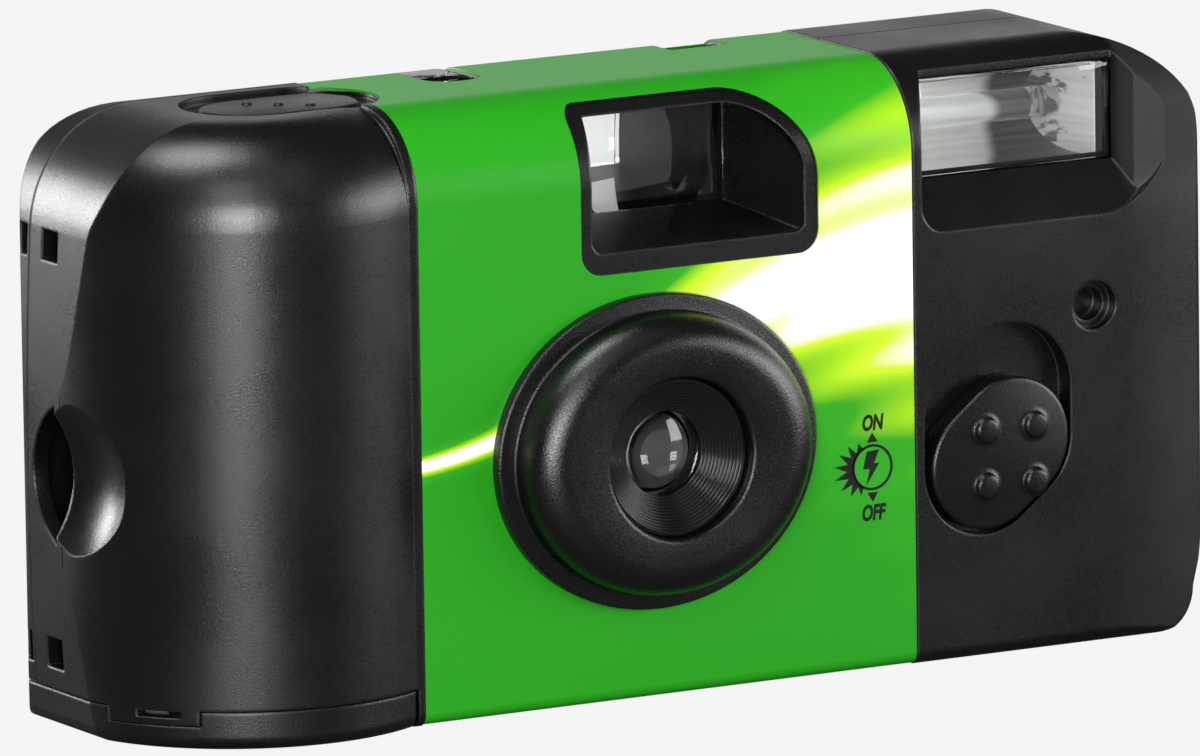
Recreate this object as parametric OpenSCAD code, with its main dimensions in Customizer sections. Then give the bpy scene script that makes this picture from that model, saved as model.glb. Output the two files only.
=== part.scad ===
// Single-use 35 mm film camera with a built-in flash, seen from the front with the grip on the left.
// X runs to the right, Y to the back and Z up. The origin is under the middle of the overall box.

/* [Body] */
// Width of the body over both ends
body_w = 108; // [106:0.5:116]
// Height of the body
body_h = 54; // [53:0.5:60]
// Depth of the body from its front panel to its back panel
body_d = 25; // [25:0.5:28]
// Wall of the covers
wall = 1.5; // [1.2:0.1:1.7]
// Radius of the upper corners, seen from the front
corner_r = 10.5; // [8:0.5:12]
// Radius of the lower corners, seen from the front
base_r = 4; // [3:0.5:5]
// How far the right end leans in at the bottom
base_in = 1.9; // [1:0.1:2.4]
// Radius of the gentle bow of both ends, seen from the front
bow_r = 350; // [250:10:500]
// Height where the ends start to lean in
slant_h = 11; // [9:1:16]
// Radius of the upper front edge
top_r = 8; // [6.5:0.5:8.5]
// Radius of the upper back edge
rear_top_r = 3.5; // [2:0.5:4]
// Radius of the lower back edge
rear_base_r = 2; // [1:0.5:3]
// Radius of the lower front edge
front_base_r = 1.2; // [0.6:0.2:2]
// Radius of the right end's front edge
end_front_r = 3; // [2:0.5:4]
// Radius of the ends' back edges
end_rear_r = 4; // [2:0.5:6]
// Radius of the gentle curve of the front panel towards the right end
sweep_r = 60; // [50:5:150]
// Width of the joint line between two covers
seam = 0.12; // [0.06:0.02:0.2]

/* [Grip] */
// Radius of the grip
grip_r = 17.7; // [17.3:0.1:18.5]
// How far the grip stands out of the front panel
grip_out = 2.3; // [2:0.1:3]
// Radius of the grip's upper edge
grip_top_r = 8.5; // [7:0.5:8.5]
// How far the grip's end leans in at the bottom
grip_in = 0.6; // [0.2:0.1:1.5]
// Radius of the grip's lower corner, seen from the front
grip_base_r = 1.5; // [0.5:0.1:3]
// Height of the lid under the grip
lid_h = 3.5; // [2.5:0.1:4.5]

/* [Label] */
// Width of the printed wrap
label_w = 49.9; // [47:0.1:51]
// Thickness of the wrap
label_t = 0.2; // [0.1:0.05:0.3]
// How deep the wrap's face lies under the plastic beside it
label_sink = 0.1; // [0.05:0.05:0.2]

/* [Lens] */
// Lens axis, from the middle of the body
lens_x = -3.4; // [-4:0.1:-3]
// Height of the lens axis
lens_z = 22.2; // [22.2:0.1:23]
// Width of the lens surround
bezel_w = 32.1; // [30:0.1:34]
// Height of the lens surround
bezel_h = 28; // [26:0.5:30]
// How far the surround stands out of the front panel
lens_h = 5.2; // [4.8:0.1:6]
// Thickness of the surround's flat rim
rim_t = 1; // [0.6:0.1:1.4]
// Width of the surround's flat rim
rim_w = 1.5; // [1:0.1:2]
// Radius of the surround's shoulder
dome_r = 2.9; // [2:0.1:3.5]
// Radius of the throat in the surround
throat_r = 7.16; // [6.9:0.02:7.4]
// Radius of the taking lens
glass_r = 4.3; // [3.9:0.1:4.6]
// Number of stepped rings in the lens holder
ring_count = 8; // [5:1:10]

/* [Viewfinder] */
// Left side of the viewfinder recess, from the middle of the body
vf_left = -10.2; // [-10.4:0.1:-9]
// Right side of the viewfinder recess, from the middle of the body
vf_right = 13.7; // [13:0.1:13.9]
// Height of the viewfinder recess, down from the top of the body
vf_h = 15.8; // [15:0.1:16]
// Width of the flat frame round the viewfinder recess
vf_frame = 1.1; // [0.8:0.1:1.4]
// Depth of the viewfinder recess
vf_d = 8; // [7.5:0.1:8.5]
// Width of the viewfinder's front lens
vf_lens_w = 15.8; // [14:0.1:16.4]
// Width of the eyepiece
eye_w = 8.8; // [7:0.1:10]
// Height of the eyepiece
eye_h = 6.6; // [5:0.1:7.5]

/* [Flash] */
// Left side of the flash recess, from the middle of the body
flash_left = 24.2; // [24.1:0.1:25]
// Width of the flash recess
flash_w = 25.8; // [25:0.1:26.5]
// Height of the flash recess, down from the top of the body
flash_h = 15.4; // [15:0.1:16]
// Depth of the flash recess
flash_d = 3.5; // [3:0.1:3.8]
// Width of the flash panel
panel_w = 19.7; // [18:0.1:20]
// Height of the flash panel
panel_h = 8.8; // [8:0.1:9]
// Thickness of the flash panel
panel_t = 1.5; // [1:0.1:2]

/* [Controls] */
// Length of the flash switch's oval
switch_l = 14.8; // [14:0.1:16]
// Width of the flash switch's oval
switch_w = 11.4; // [10:0.1:11.5]
// Travel of the flash switch
switch_travel = 4.3; // [3:0.1:4.4]
// Length of the shutter button
button_l = 15; // [13:0.5:15.5]
// Width of the shutter button
button_w = 9; // [8:0.5:9.5]
// Travel of the shutter button
button_travel = 1.2; // [0.8:0.1:1.3]
// Radius of the thumb wheel
wheel_r = 13.6; // [13.4:0.05:13.65]
// Thickness of the thumb wheel
wheel_t = 3.2; // [2.6:0.1:3.4]

/* [Film] */
// Width of the film
film_w = 35; // [34:0.5:36]
// Thickness of the film
film_t = 0.14; // [0.1:0.02:0.2]
// Width of the film gate
gate_w = 36; // [34:0.5:37]
// Height of the film gate
gate_h = 24; // [22:0.5:25]
// Radius of the cartridge
cart_r = 12.5; // [12.2:0.05:12.6]
// Length of the cartridge without its spool end
cart_l = 41; // [40.5:0.1:41.2]
// Radius of the roll of fresh film
roll_r = 8.2; // [7:0.1:8.3]

/* [Power] */
// Radius of the battery
cell_r = 5.25; // [5:0.05:5.3]
// Length of the battery
cell_l = 44.5; // [44:0.1:44.6]
// Radius of the flash capacitor
cap_r = 3.9; // [3.5:0.1:3.95]

/* [Hidden] */
$fn = 72;
// Sizes that other pieces follow
bulge = 2.5;
front_y = -(lens_h + body_d + bulge) / 2 + lens_h;
rear_y = front_y + body_d;
half_w = body_w / 2;
recess = label_sink + label_t;
inner_front = front_y + wall;
inner_rear = rear_y - wall;
inner_top = body_h - wall;
reach = 2 * body_w;
slack = 0.3;
run = 0.05;
// Grip and label
grip_x = -half_w + grip_r + 0.1;
grip_y = front_y - grip_out + grip_r;
panel_x = grip_x + sqrt(pow(grip_r, 2) - pow(grip_y - front_y, 2));
label_x0 = panel_x + 0.9;
label_x1 = label_x0 + label_w;
sweep_x = label_x1 + 21.3;
lid_x = panel_x + 0.3;
seam_right = front_y + 16.25;
seam_left = rear_y - 3.8;
// Finger notch in the grip's end
notch_y = grip_y - 1.6;
notch_z = lens_z + 0.5;
notch_r = 6.6;
notch_d = 3;
notch_ball = 10.3;
notch_x = -half_w + notch_d - notch_ball;
notch_cut = grip_y + 0.9;
// Film path
film_y = inner_rear - 3.5;
film_z0 = lens_z - film_w / 2;
film_z1 = lens_z + film_w / 2;
deck_t = 1;
deck_z0 = film_z1 + 1;
deck_z1 = deck_z0 + deck_t;
rail_t = 1.8;
chamber_t = 1;
cart_x = grip_x - 0.5;
bulge_t = 1;
cart_y = rear_y + bulge - bulge_t - slack - cart_r;
cart_z0 = lens_z - cart_l / 2;
cart_z1 = lens_z + cart_l / 2;
cart_room = cart_r + slack;
chamber_r = cart_room + chamber_t;
can_t = 0.4;
cap_t = 0.6;
spool_r = 5.5;
neck_r = 2.9;
roof_z0 = cart_z1 + slack;
roof_t = 0.8;
roll_room = roll_r + 0.6;
roll_wall = 0.8;
roll_x = cart_x + cart_room + chamber_t + cell_l + 2 * 0.5 + roll_room + 1.5;
roll_y = inner_rear - 0.8 - roll_r;
core_r = 3.5;
// Viewfinder
vf_floor = body_h - vf_h;
vf_y = front_y + vf_d;
vf_mid = (vf_left + vf_right) / 2 - 1.15;
vf_sill = deck_z1 + 0.5;
vf_top = body_h - 1.1;
tub_t = 1;
vf_lens_t = 2.4;
tube_t = 0.8;
tube_top = inner_top - 0.2;
eye_z = deck_z1 + 1.9;
eye_y = inner_rear - 1.8;
// Flash
flash_floor = body_h - flash_h;
flash_right = flash_left + flash_w;
flash_y = front_y + flash_d;
panel_x0 = flash_left + 1.8;
panel_z1 = body_h - 2.2;
panel_z0 = panel_z1 - panel_h;
panel_fit = 0.1;
flash_step = [1.3, 2];
trough_y0 = flash_y + panel_t;
trough_d = 8;
tube_y = trough_y0 + 5;
tube_z = (panel_z0 + panel_z1) / 2;
tube_r = 1.3;
// Flash board and power
board_t = 1;
board_y = roll_y - roll_room - roll_wall - slack - board_t;
board_x0 = roll_x - roll_room - 1;
board_z0 = 5;
board_z1 = flash_floor - tub_t - slack;
cell_y = inner_front + 0.35 + cell_r;
cell_z = wall + 0.45 + cell_r;
cell_x0 = cart_x + cart_room + chamber_t + 0.6;
contact_t = 0.5;
capacitor_x = roll_x + roll_room + chamber_t + 0.4 + cap_r;
capacitor_y = board_y + board_t + 0.1 + cap_r;
// Flash switch
switch_x = lens_x + 35.15;
switch_z = lens_z - 3.9;
switch_turn = 38;
switch_gap = 0.5;
pocket_d = 2;
pocket_floor = 0.6;
pocket_y = front_y + pocket_d;
link_y = pocket_y + pocket_floor + 0.25;
link_t = 0.5;
stem_w = 2.4;
bump_step = 5.02;
// Small round hole above the switch
hole_x = lens_x + 45.2;
hole_z = lens_z + 8.3;
hole_r = 2.2;
hole_step = front_y + 1.1;
hole_y = front_y + 2.6;
// Ready lamp
lamp_x = lens_x + 16.05;
lamp_y = inner_rear - 2.4;
lamp_w = 5.5;
lamp_d = 4.2;
lamp_sink = 2.2;
arm_z0 = deck_z1 + 2.3;
arm_z1 = arm_z0 + 2;
bar_x0 = label_x1 - 5.8;
bar_w = 2.5;
// Thumb wheel, counter and sprocket
wheel_z0 = roof_z0 + roof_t + slack;
wheel_z1 = wheel_z0 + wheel_t;
sprocket_r = 4.6;
sprocket_teeth = 6;
sprocket_t = 2.6;
sprocket_x = cart_x + cart_room + chamber_t + sprocket_r + 1.7;
sprocket_y = film_y - slack - sprocket_r;
sprocket_z0 = film_z1 - 3;
shaft_r = 1.5;
disc_x = sprocket_x - 3;
disc_y = sprocket_y + 2;
disc_r = 6.1;
disc_z = inner_top - 3.1;
disc_t = 1;
counter_x = disc_x + 6;
counter_w = 5.5;
counter_y0 = inner_rear - 8.5;
counter_y1 = inner_rear + 0.5;
// Shutter button and release
button_x = grip_x + 3.7;
button_y = grip_y - 1.4;
dish_d = 0.8;
flange_t = 0.6;
flange_z = inner_top - 0.15 - flange_t;
lever_t = 1;
lever_z = flange_z - button_travel - 0.25 - lever_t;
lever_w = 2.6;
pivot_y = button_y - button_w / 2 - 2.6;
pivot_r = 0.8;
ear_t = 1.3;
// Lens holder and shutter
plate_t = 1.2;
plate_y = front_y + 4.1;
box_y = plate_y + plate_t;
box_mouth = 6;
holder_y = plate_y - 1.6;
holder_r = throat_r - 0.06;
glass_y = front_y - 1.3;
glass_t = 2.6;
plate_left = 12;
plate_right = 14;
plate_low = 9.4;
aperture_r = 1.6;
blade_x = lens_x + 8.8;
blade_z = lens_z + 6.6;
blade_y = plate_y - 0.9;
blade_t = 0.4;
kick_x = lens_x + 9;
kick_z = lens_z + 11.3;
kick_y = blade_y - 1.4;
kick_t = 0.8;

// Helpers

// Extrudes a drawing of (Y, Z) along X
module along_x(x0, x1) {
    translate([x0, 0, 0]) rotate([90, 0, 90]) linear_extrude(x1 - x0) children();
}

// Extrudes a drawing of (X, Z) along Y
module along_y(y0, y1) {
    translate([0, y1, 0]) rotate([90, 0, 0]) linear_extrude(y1 - y0) children();
}

// Extrudes a drawing of (X, Y) along Z
module along_z(z0, z1) {
    translate([0, 0, z0]) linear_extrude(z1 - z0) children();
}

module box(lo, hi) {
    translate(lo) cube(hi - lo);
}

module x_rod(y, z, x0, x1, r) {
    translate([x0, y, z]) rotate([0, 90, 0]) cylinder(h = x1 - x0, r = r);
}

module y_rod(x, z, y0, y1, r) {
    translate([x, y0, z]) rotate([-90, 0, 0]) cylinder(h = y1 - y0, r = r);
}

module z_rod(x, y, z0, z1, r) {
    translate([x, y, z0]) cylinder(h = z1 - z0, r = r);
}

// Rectangle with its own radius at each corner: lower left, lower right, upper right, upper left
module round_rect(lo, hi, r) {
    polygon([[lo.x + r[0], lo.y], [hi.x - r[1], lo.y], [hi.x, lo.y + r[1]], [hi.x, hi.y - r[2]],
        [hi.x - r[2], hi.y], [lo.x + r[3], hi.y], [lo.x, hi.y - r[3]], [lo.x, lo.y + r[0]]]);
    centres = [[lo.x + r[0], lo.y + r[0]], [hi.x - r[1], lo.y + r[1]],
        [hi.x - r[2], hi.y - r[2]], [lo.x + r[3], hi.y - r[3]]];
    for (k = [0:3]) {
        if (r[k] > 0) translate(centres[k]) circle(r[k]);
    }
}

// Oval with straight sides, lying along its first axis
module stadium(l, w) {
    square([l - w, w], center = true);
    for (s = [-1, 1]) translate([s * (l - w) / 2, 0]) circle(d = w);
}

// A fillet radius moved in by a wall
function inset_r(r, i) = max(r - i, 0);

// Body form

// Front view of the body, moved in by i
module body_front(i) {
    rise = body_h - corner_r - lens_z;
    top_x = half_w - bow_r + sqrt(pow(bow_r - corner_r, 2) - pow(rise, 2));
    top_z = lens_z + (bow_r - i) * rise / (bow_r - corner_r);
    left_x = half_w - grip_in - grip_base_r;
    right_x = half_w - base_in - base_r;
    intersection() {
        union() {
            polygon([[-half_w + grip_in + i, grip_base_r], [half_w - base_in - i, base_r],
                [half_w - i, slant_h], [half_w - i, top_z], [-half_w + i, top_z], [-half_w + i, slant_h]]);
            translate([-top_x, top_z - 1]) square([2 * top_x, body_h - top_z + 1 - i]);
            translate([-left_x, i]) square([left_x + right_x, base_r + 1 - i]);
            for (s = [-1, 1]) translate([s * top_x, body_h - corner_r]) circle(corner_r - i);
            if (grip_base_r > i) translate([-left_x, grip_base_r]) circle(grip_base_r - i);
            translate([right_x, base_r]) circle(base_r - i);
        }
        translate([-half_w + bow_r, lens_z]) circle(bow_r - i, $fn = 720);
        translate([half_w - bow_r, lens_z]) circle(bow_r - i, $fn = 720);
    }
}

// Side view of the body behind its front panel, moved in by i
module body_side(i) {
    round_rect([front_y + i, i], [rear_y - i, body_h - i],
        [inset_r(front_base_r, i), inset_r(rear_base_r, i), inset_r(rear_top_r, i), top_r - i]);
}

// Top view of the body without the grip, moved in by i
module body_plan(i) {
    rear = inset_r(end_rear_r, i);
    intersection() {
        union() {
            round_rect([-half_w + i, grip_y], [half_w - i, rear_y - i], [0, 0, rear, rear]);
            round_rect([panel_x, front_y + i], [half_w - i, rear_y - i],
                [0, inset_r(end_front_r, i), rear, 0]);
        }
        union() {
            translate([-reach, -reach]) square([reach + sweep_x, 2 * reach]);
            translate([sweep_x, front_y + sweep_r]) circle(sweep_r - i, $fn = 360);
        }
    }
}

// Whole outer form with the grip, moved in by i
module body(i) {
    intersection() {
        along_y(front_y - grip_out - 1, rear_y + 1) body_front(i);
        union() {
            intersection() {
                along_x(-half_w - 1, half_w + 1) body_side(i);
                along_z(-1, body_h + 1) body_plan(i);
            }
            intersection() {
                translate([grip_x, grip_y, 0]) rotate_extrude()
                    round_rect([0, i], [grip_r - i, body_h - i],
                        [0, inset_r(front_base_r, i), grip_top_r - i, 0]);
                box([-reach, -reach, -1], [reach, grip_y + 2, body_h + 1]);
            }
        }
    }
}

// Bulge of the back over the cartridge
module cartridge_bulge(r, z0, z1) {
    intersection() {
        z_rod(cart_x, cart_y, z0, z1, r);
        box([-reach, rear_y - wall - 2, -1], [reach, reach, body_h]);
    }
}

// Outer form of the closed covers, with the wrap's shallow bed
module covers_outer() {
    difference() {
        body(0);
        difference() {
            box([label_x0, -reach, -1], [label_x1, reach, body_h + 1]);
            body(recess);
        }
    }
}

// Space in front of the joint line between the covers
module front_side(gap) {
    box([-reach, -reach, -1], [label_x0 + 3, seam_left - gap, body_h + 1]);
    box([label_x0 + 2, -reach, -1], [reach, seam_right - gap, body_h + 1]);
}

// Space of the lid under the grip, without the tongue of the front cover
module lid_side(gap) {
    difference() {
        box([-reach, -reach, -1], [lid_x - gap, reach, lid_h - gap]);
        box([-half_w + 0.5 - gap, -reach, 2.2 - gap], [-half_w + 6.2 + gap, grip_y - 6, lid_h]);
    }
}

// Outline of the viewfinder's frame in the wrap, grown by g
module viewfinder_frame(g) {
    along_y(front_y - 1, vf_y) intersection() {
        round_rect([vf_left - g, vf_floor - g], [vf_right + g, vf_top + g], [2 + g, 2 + g, 8.5, 1.5]);
        translate([vf_left - g, vf_floor - g])
            square([vf_right - vf_left + 2 * g, vf_top - vf_floor + 2 * g]);
    }
}

// Recess of the viewfinder inside its frame, grown by g on its walls
module viewfinder_recess(g) {
    x0 = vf_left + vf_frame - g;
    x1 = vf_right - vf_frame + g;
    z0 = vf_floor + 1.6 * vf_frame - g;
    intersection() {
        along_y(front_y - 1, vf_y)
            round_rect([x0, z0], [x1, vf_top - vf_frame + g], [1.4 + g, 1.4 + g, 7.6, 1]);
        along_z(0, body_h + 1)
            polygon([[x0, front_y - 1], [x1, front_y - 1], [x1, front_y],
                [vf_mid + vf_lens_w / 2 + g, vf_y], [vf_mid - vf_lens_w / 2 - g, vf_y], [x0, front_y]]);
        along_x(-half_w, half_w)
            polygon([[front_y - 1, z0], [front_y, z0], [vf_y, vf_sill - g],
                [vf_y, body_h], [front_y - 1, body_h]]);
    }
}

// Recess of the flash, grown by g on its walls
module flash_recess(g) {
    intersection() {
        along_y(front_y - 1, flash_y)
            round_rect([flash_left - g, flash_floor - g], [flash_right + g, body_h - 0.5],
                [2.5 + g, 7.5, 7.2, 1.5]);
        along_z(0, body_h + 1)
            polygon([[flash_left - g, front_y - 1], [flash_right + g, front_y - 1],
                [flash_right + g, front_y], [panel_x0 + panel_w + flash_step.x + g, flash_y - flash_step.y],
                [panel_x0 + panel_w + g, flash_y],
                [panel_x0 - g, flash_y], [flash_left - g, front_y]]);
        along_x(-half_w, half_w)
            polygon([[front_y - 1, flash_floor - g], [front_y, flash_floor - g],
                [flash_y, panel_z0 - g], [flash_y, body_h], [front_y - 1, body_h]]);
    }
}

// Tilted oval of the flash switch, grown by g
module switch_oval(g) {
    translate([switch_x, switch_z]) rotate(switch_turn) stadium(switch_l + 2 * g, switch_w + 2 * g);
}

// Oval of the flash switch swept up by its travel, grown by g
module switch_slot(g) {
    half = (switch_l - switch_w) / 2 * [cos(switch_turn), sin(switch_turn)];
    r = switch_w / 2 + g;
    across = r * [-sin(switch_turn), cos(switch_turn)];
    mid = [switch_x, switch_z];
    up = [0, switch_travel];
    polygon([mid - half + across, mid - half - across, mid + half - across,
        mid + half - across + up, mid + half + across + up, mid - half + across + up]);
    for (s = [-1, 1]) {
        translate(mid + s * half) circle(r);
        translate(mid + s * half + up) circle(r);
        translate(mid + s * half - [r, 0]) square([2 * r, switch_travel]);
    }
}

// Boss behind the pocket of the flash switch
module switch_boss() {
    along_y(front_y, pocket_y + pocket_floor) switch_slot(switch_gap + 1);
}

module button_at(z0, z1, g) {
    translate([button_x, button_y, 0]) along_z(z0, z1) stadium(button_l + 2 * g, button_w + 2 * g);
}

// Opening in the top over the frame numbers, grown by g
module counter_opening(g) {
    r = counter_w / 2;
    round_rect([counter_x - r - g, counter_y0 - g], [counter_x + r + g, counter_y1 + g],
        [r - 0.3, r - 0.3, 0.6, 0.6]);
}

module lamp_opening(g) {
    translate([lamp_x - lamp_w / 2 - g, lamp_y - lamp_d / 2 - g]) square([lamp_w, lamp_d] + 2 * [g, g]);
}

// Openings in the top of the covers, for both windows
module top_openings() {
    along_z(inner_top - 1, body_h + 1) counter_opening(0);
    along_z(inner_top - 1, body_h + 1) lamp_opening(slack);
}

// Row of square latch windows in the left end
module latch_windows(y0, y1) {
    for (z = [5.4, 41.4]) box([-half_w - 1, y0, z], [-half_w + 4, y1, z + 2.7]);
}

// Wall behind the finger notch, clear of the cartridge chamber
module notch_boss() {
    difference() {
        intersection() {
            z_rod(grip_x, grip_y, notch_z - notch_r - 1.2, notch_z + notch_r + 1.2, grip_r - 0.5);
            box([-reach, notch_y - notch_r - 1.2, 0], [grip_x - 8, notch_cut, body_h]);
        }
        z_rod(cart_x, cart_y, 0, body_h, chamber_r + slack);
    }
}

// Ears under the top that carry the release lever
module release_ears() {
    for (s = [-1, 1]) {
        x = button_x + s * (lever_w / 2 + run + ear_t / 2 + 0.1);
        box([x - ear_t / 2, pivot_y - 1.3, lever_z - 0.5], [x + ear_t / 2, pivot_y + 1.3, inner_top + 0.5]);
    }
}

// Covers

module front_cover() {
    color([0.09, 0.09, 0.1]) difference() {
        intersection() {
            covers_outer();
            union() {
                difference() {
                    front_side(0);
                    body(wall);
                    lid_side(0);
                }
                viewfinder_recess(tub_t);
                flash_recess(tub_t);
                switch_boss();
                y_rod(hole_x, hole_z, front_y, hole_y + 0.6, hole_r + 0.8);
                notch_boss();
                release_ears();
            }
        }
        viewfinder_recess(0);
        flash_recess(0);
        box([panel_x0 - panel_fit, flash_y - 0.1, panel_z0 - panel_fit],
            [panel_x0 + panel_w + panel_fit, trough_y0 + 0.4, panel_z1 + panel_fit]);
        box([vf_mid - vf_lens_w / 2 - 0.8, vf_y - 0.01, vf_sill - 0.6],
            [vf_mid + vf_lens_w / 2 + 0.8, vf_y + vf_lens_t + 3, inner_top]);
        y_rod(lens_x, lens_z, front_y - 1, inner_front + 1, throat_r + 1.9);
        along_y(front_y - 1, pocket_y) switch_slot(switch_gap);
        box([switch_x - stem_w / 2 - slack, front_y, switch_z - stem_w / 2 - slack],
            [switch_x + stem_w / 2 + slack, inner_front + 3, switch_z + stem_w / 2 + switch_travel + slack]);
        y_rod(hole_x, hole_z, front_y - 1, hole_step, hole_r);
        y_rod(hole_x, hole_z, front_y, hole_y, hole_r - 0.7);
        button_at(body_h - dish_d, body_h + 1, 1.6);
        button_at(inner_top - 1, body_h + 1, slack);
        top_openings();
        x_rod(pivot_y, lever_z + lever_t / 2, button_x - lever_w - 3, button_x + lever_w + 3, pivot_r + run);
        intersection() {
            translate([notch_x, notch_y - 2.3, notch_z]) sphere(notch_ball, $fn = 240);
            x_rod(notch_y, notch_z, -half_w - 8, cart_x, notch_r);
        }
        intersection() {
            x_rod(notch_y, notch_z, -half_w - 1, cart_x - chamber_r + 4, notch_r);
            box([-reach, notch_cut, 0], [reach, reach, body_h]);
        }
        latch_windows(grip_y + 0.7, grip_y + 3.7);
        box([-half_w + 2.5, -reach, 2.8], [-half_w + 5, grip_y - 8, 3.4]);
    }
}

module rear_cover() {
    color([0.1, 0.1, 0.11]) difference() {
        union() {
            difference() {
                covers_outer();
                front_side(-seam);
                body(wall);
                lid_side(-seam);
            }
            cartridge_bulge(cart_room + bulge_t, lid_h + seam, roof_z0 + roof_t);
            for (z = [film_z0 + 1.5, film_z1 - 1.5]) {
                box([lens_x - gate_w / 2 - 1, film_y + film_t + 0.1, z - 0.6],
                    [lens_x + gate_w / 2 + 1, inner_rear + 0.2, z + 0.6]);
            }
        }
        z_rod(cart_x, cart_y, lid_h - 1, roof_z0, cart_room);
        z_rod(cart_x, cart_y, roof_z0 - 0.1, wheel_z1 + slack, wheel_r + slack);
        box([vf_mid - eye_w / 2 - 0.15, inner_rear - 1, eye_z - 0.15],
            [vf_mid + eye_w / 2 + 0.15, reach, eye_z + eye_h + 0.15]);
        top_openings();
        latch_windows(seam_left + 0.5, seam_left + 2);
        for (z = [10.9, 32.3]) box([-half_w - 1, rear_y - 1.6, z], [-half_w + 2.4, rear_y + 1, z + 2.4]);
    }
}

module bottom_lid() {
    color([0.08, 0.08, 0.09]) difference() {
        intersection() {
            union() {
                covers_outer();
                cartridge_bulge(cart_room + bulge_t, 0, lid_h);
            }
            lid_side(seam);
        }
        body(wall);
        z_rod(cart_x, cart_y, wall, lid_h + 1, cart_room);
        box([panel_x - 0.1, -reach, -1], [reach, reach, lid_h + 1]);
    }
}

module label_wrap() {
    edge = 0.1;
    color([0.2, 0.62, 0.16]) difference() {
        intersection() {
            body(label_sink);
            box([label_x0 + edge, -reach, -1], [label_x1 - edge, reach, body_h + 1]);
        }
        body(recess);
        viewfinder_frame(0.05);
        y_rod(lens_x, lens_z, front_y - 1, inner_front, throat_r + 2);
        along_z(inner_top - 1, body_h + 1) counter_opening(0.05);
        along_z(inner_top - 1, body_h + 1) lamp_opening(slack);
        box([vf_mid - eye_w / 2 - 0.2, inner_rear, eye_z - 0.2],
            [vf_mid + eye_w / 2 + 0.2, reach, eye_z + eye_h + 0.2]);
        button_at(body_h - dish_d, body_h + 1, 1.7);
    }
}

// Lens and shutter

// Half section of the lens surround, from its axis out
module bezel_section() {
    rim_r = bezel_h / 2;
    dome_x = rim_r - rim_w - dome_r;
    square([rim_r, rim_t]);
    square([dome_x, lens_h]);
    intersection() {
        translate([dome_x, lens_h - dome_r]) circle(dome_r);
        square([rim_r, lens_h]);
    }
    square([dome_x + dome_r, lens_h - dome_r]);
}

module lens_bezel() {
    shift = (bezel_w - bezel_h) / 2;
    seat = front_y + label_sink;
    color([0.07, 0.07, 0.08]) difference() {
        union() {
            for (s = [-1, 1]) {
                translate([lens_x + s * shift, front_y, lens_z]) rotate([90, 0, 0])
                    rotate(-90 * s) rotate_extrude(angle = 180) bezel_section();
            }
            for (m = [0, 1]) {
                translate([0, 0, lens_z]) mirror([0, 0, m]) translate([0, front_y, 0])
                    along_x(lens_x - shift, lens_x + shift) rotate(90) bezel_section();
            }
            y_rod(lens_x, lens_z, front_y - 0.5, inner_front + 0.4, throat_r + 1.7);
            along_y(front_y - 0.2, seat) translate([lens_x, lens_z]) stadium(bezel_w, bezel_h);
        }
        y_rod(lens_x, lens_z, -reach, inner_front + 1, throat_r);
    }
}

module lens_retainer() {
    mouth_y = front_y - lens_h + 1.1;
    step = (glass_y - 0.6 - mouth_y) / ring_count;
    mouth_r = holder_r - 0.6;
    lip_r = glass_r - 0.55;
    color([0.06, 0.06, 0.06]) {
        difference() {
            y_rod(lens_x, lens_z, mouth_y, holder_y, holder_r);
            for (k = [0:ring_count - 1]) {
                y_rod(lens_x, lens_z, mouth_y - 1, mouth_y + (k + 1) * step,
                    mouth_r - k * (mouth_r - lip_r) / ring_count);
            }
            y_rod(lens_x, lens_z, mouth_y, holder_y + 1, lip_r);
            y_rod(lens_x, lens_z, glass_y, holder_y + 1, glass_r + run);
        }
        for (a = [100, 180, 250]) {
            y_rod(lens_x + 6.2 * cos(a), lens_z + 6.2 * sin(a), holder_y, plate_y, 0.7);
        }
    }
}

module taking_lens() {
    front_r = 12;
    color([0.75, 0.8, 0.85, 0.6]) intersection() {
        y_rod(lens_x, lens_z, glass_y - 0.5, glass_y + glass_t, glass_r);
        translate([lens_x, glass_y - 0.5 + front_r, lens_z]) sphere(front_r);
    }
}

module shutter_plate() {
    color([0.13, 0.13, 0.14]) {
        difference() {
            box([lens_x - plate_left, plate_y, lens_z - plate_low],
                [lens_x + plate_right, box_y, kick_z + 2.6]);
            y_rod(lens_x, lens_z, plate_y - 1, box_y + 1, aperture_r);
        }
        y_rod(blade_x, blade_z, blade_y - blade_t - 0.4, plate_y + 0.1, 0.8);
        y_rod(kick_x, kick_z, kick_y - 0.2, plate_y + 0.1, 0.9);
    }
}

module shutter_blade() {
    arm = norm([blade_x - lens_x, blade_z - lens_z]);
    turn = atan2(blade_z - lens_z, blade_x - lens_x);
    color([0.2, 0.2, 0.21]) difference() {
        along_y(blade_y - blade_t, blade_y) {
            translate([lens_x, lens_z]) circle(3);
            translate([lens_x, lens_z]) rotate(turn) translate([0, -1.2]) square([arm, 2.4]);
            translate([blade_x, blade_z]) circle(1.8);
        }
        y_rod(blade_x, blade_z, blade_y - 1, blade_y + 1, 0.8 + run);
    }
}

module kick_lever() {
    color([0.75, 0.75, 0.72]) difference() {
        along_y(kick_y, kick_y + kick_t) {
            translate([kick_x, kick_z]) circle(2);
            translate([kick_x - 4.8, kick_z - 1]) square([9.6, 2]);
        }
        y_rod(kick_x, kick_z, kick_y - 1, kick_y + 2, 0.9 + run);
    }
}

module kick_spring() {
    color([0.7, 0.7, 0.72]) difference() {
        y_rod(kick_x, kick_z, kick_y + kick_t + 0.1, plate_y, 1.7);
        y_rod(kick_x, kick_z, kick_y, plate_y + 1, 0.95);
    }
}

module sync_contact() {
    color([0.8, 0.65, 0.25])
        box([lens_x - 9.6, plate_y - 0.8, lens_z + 3], [lens_x - 8.2, plate_y, lens_z + 11]);
}

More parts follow.
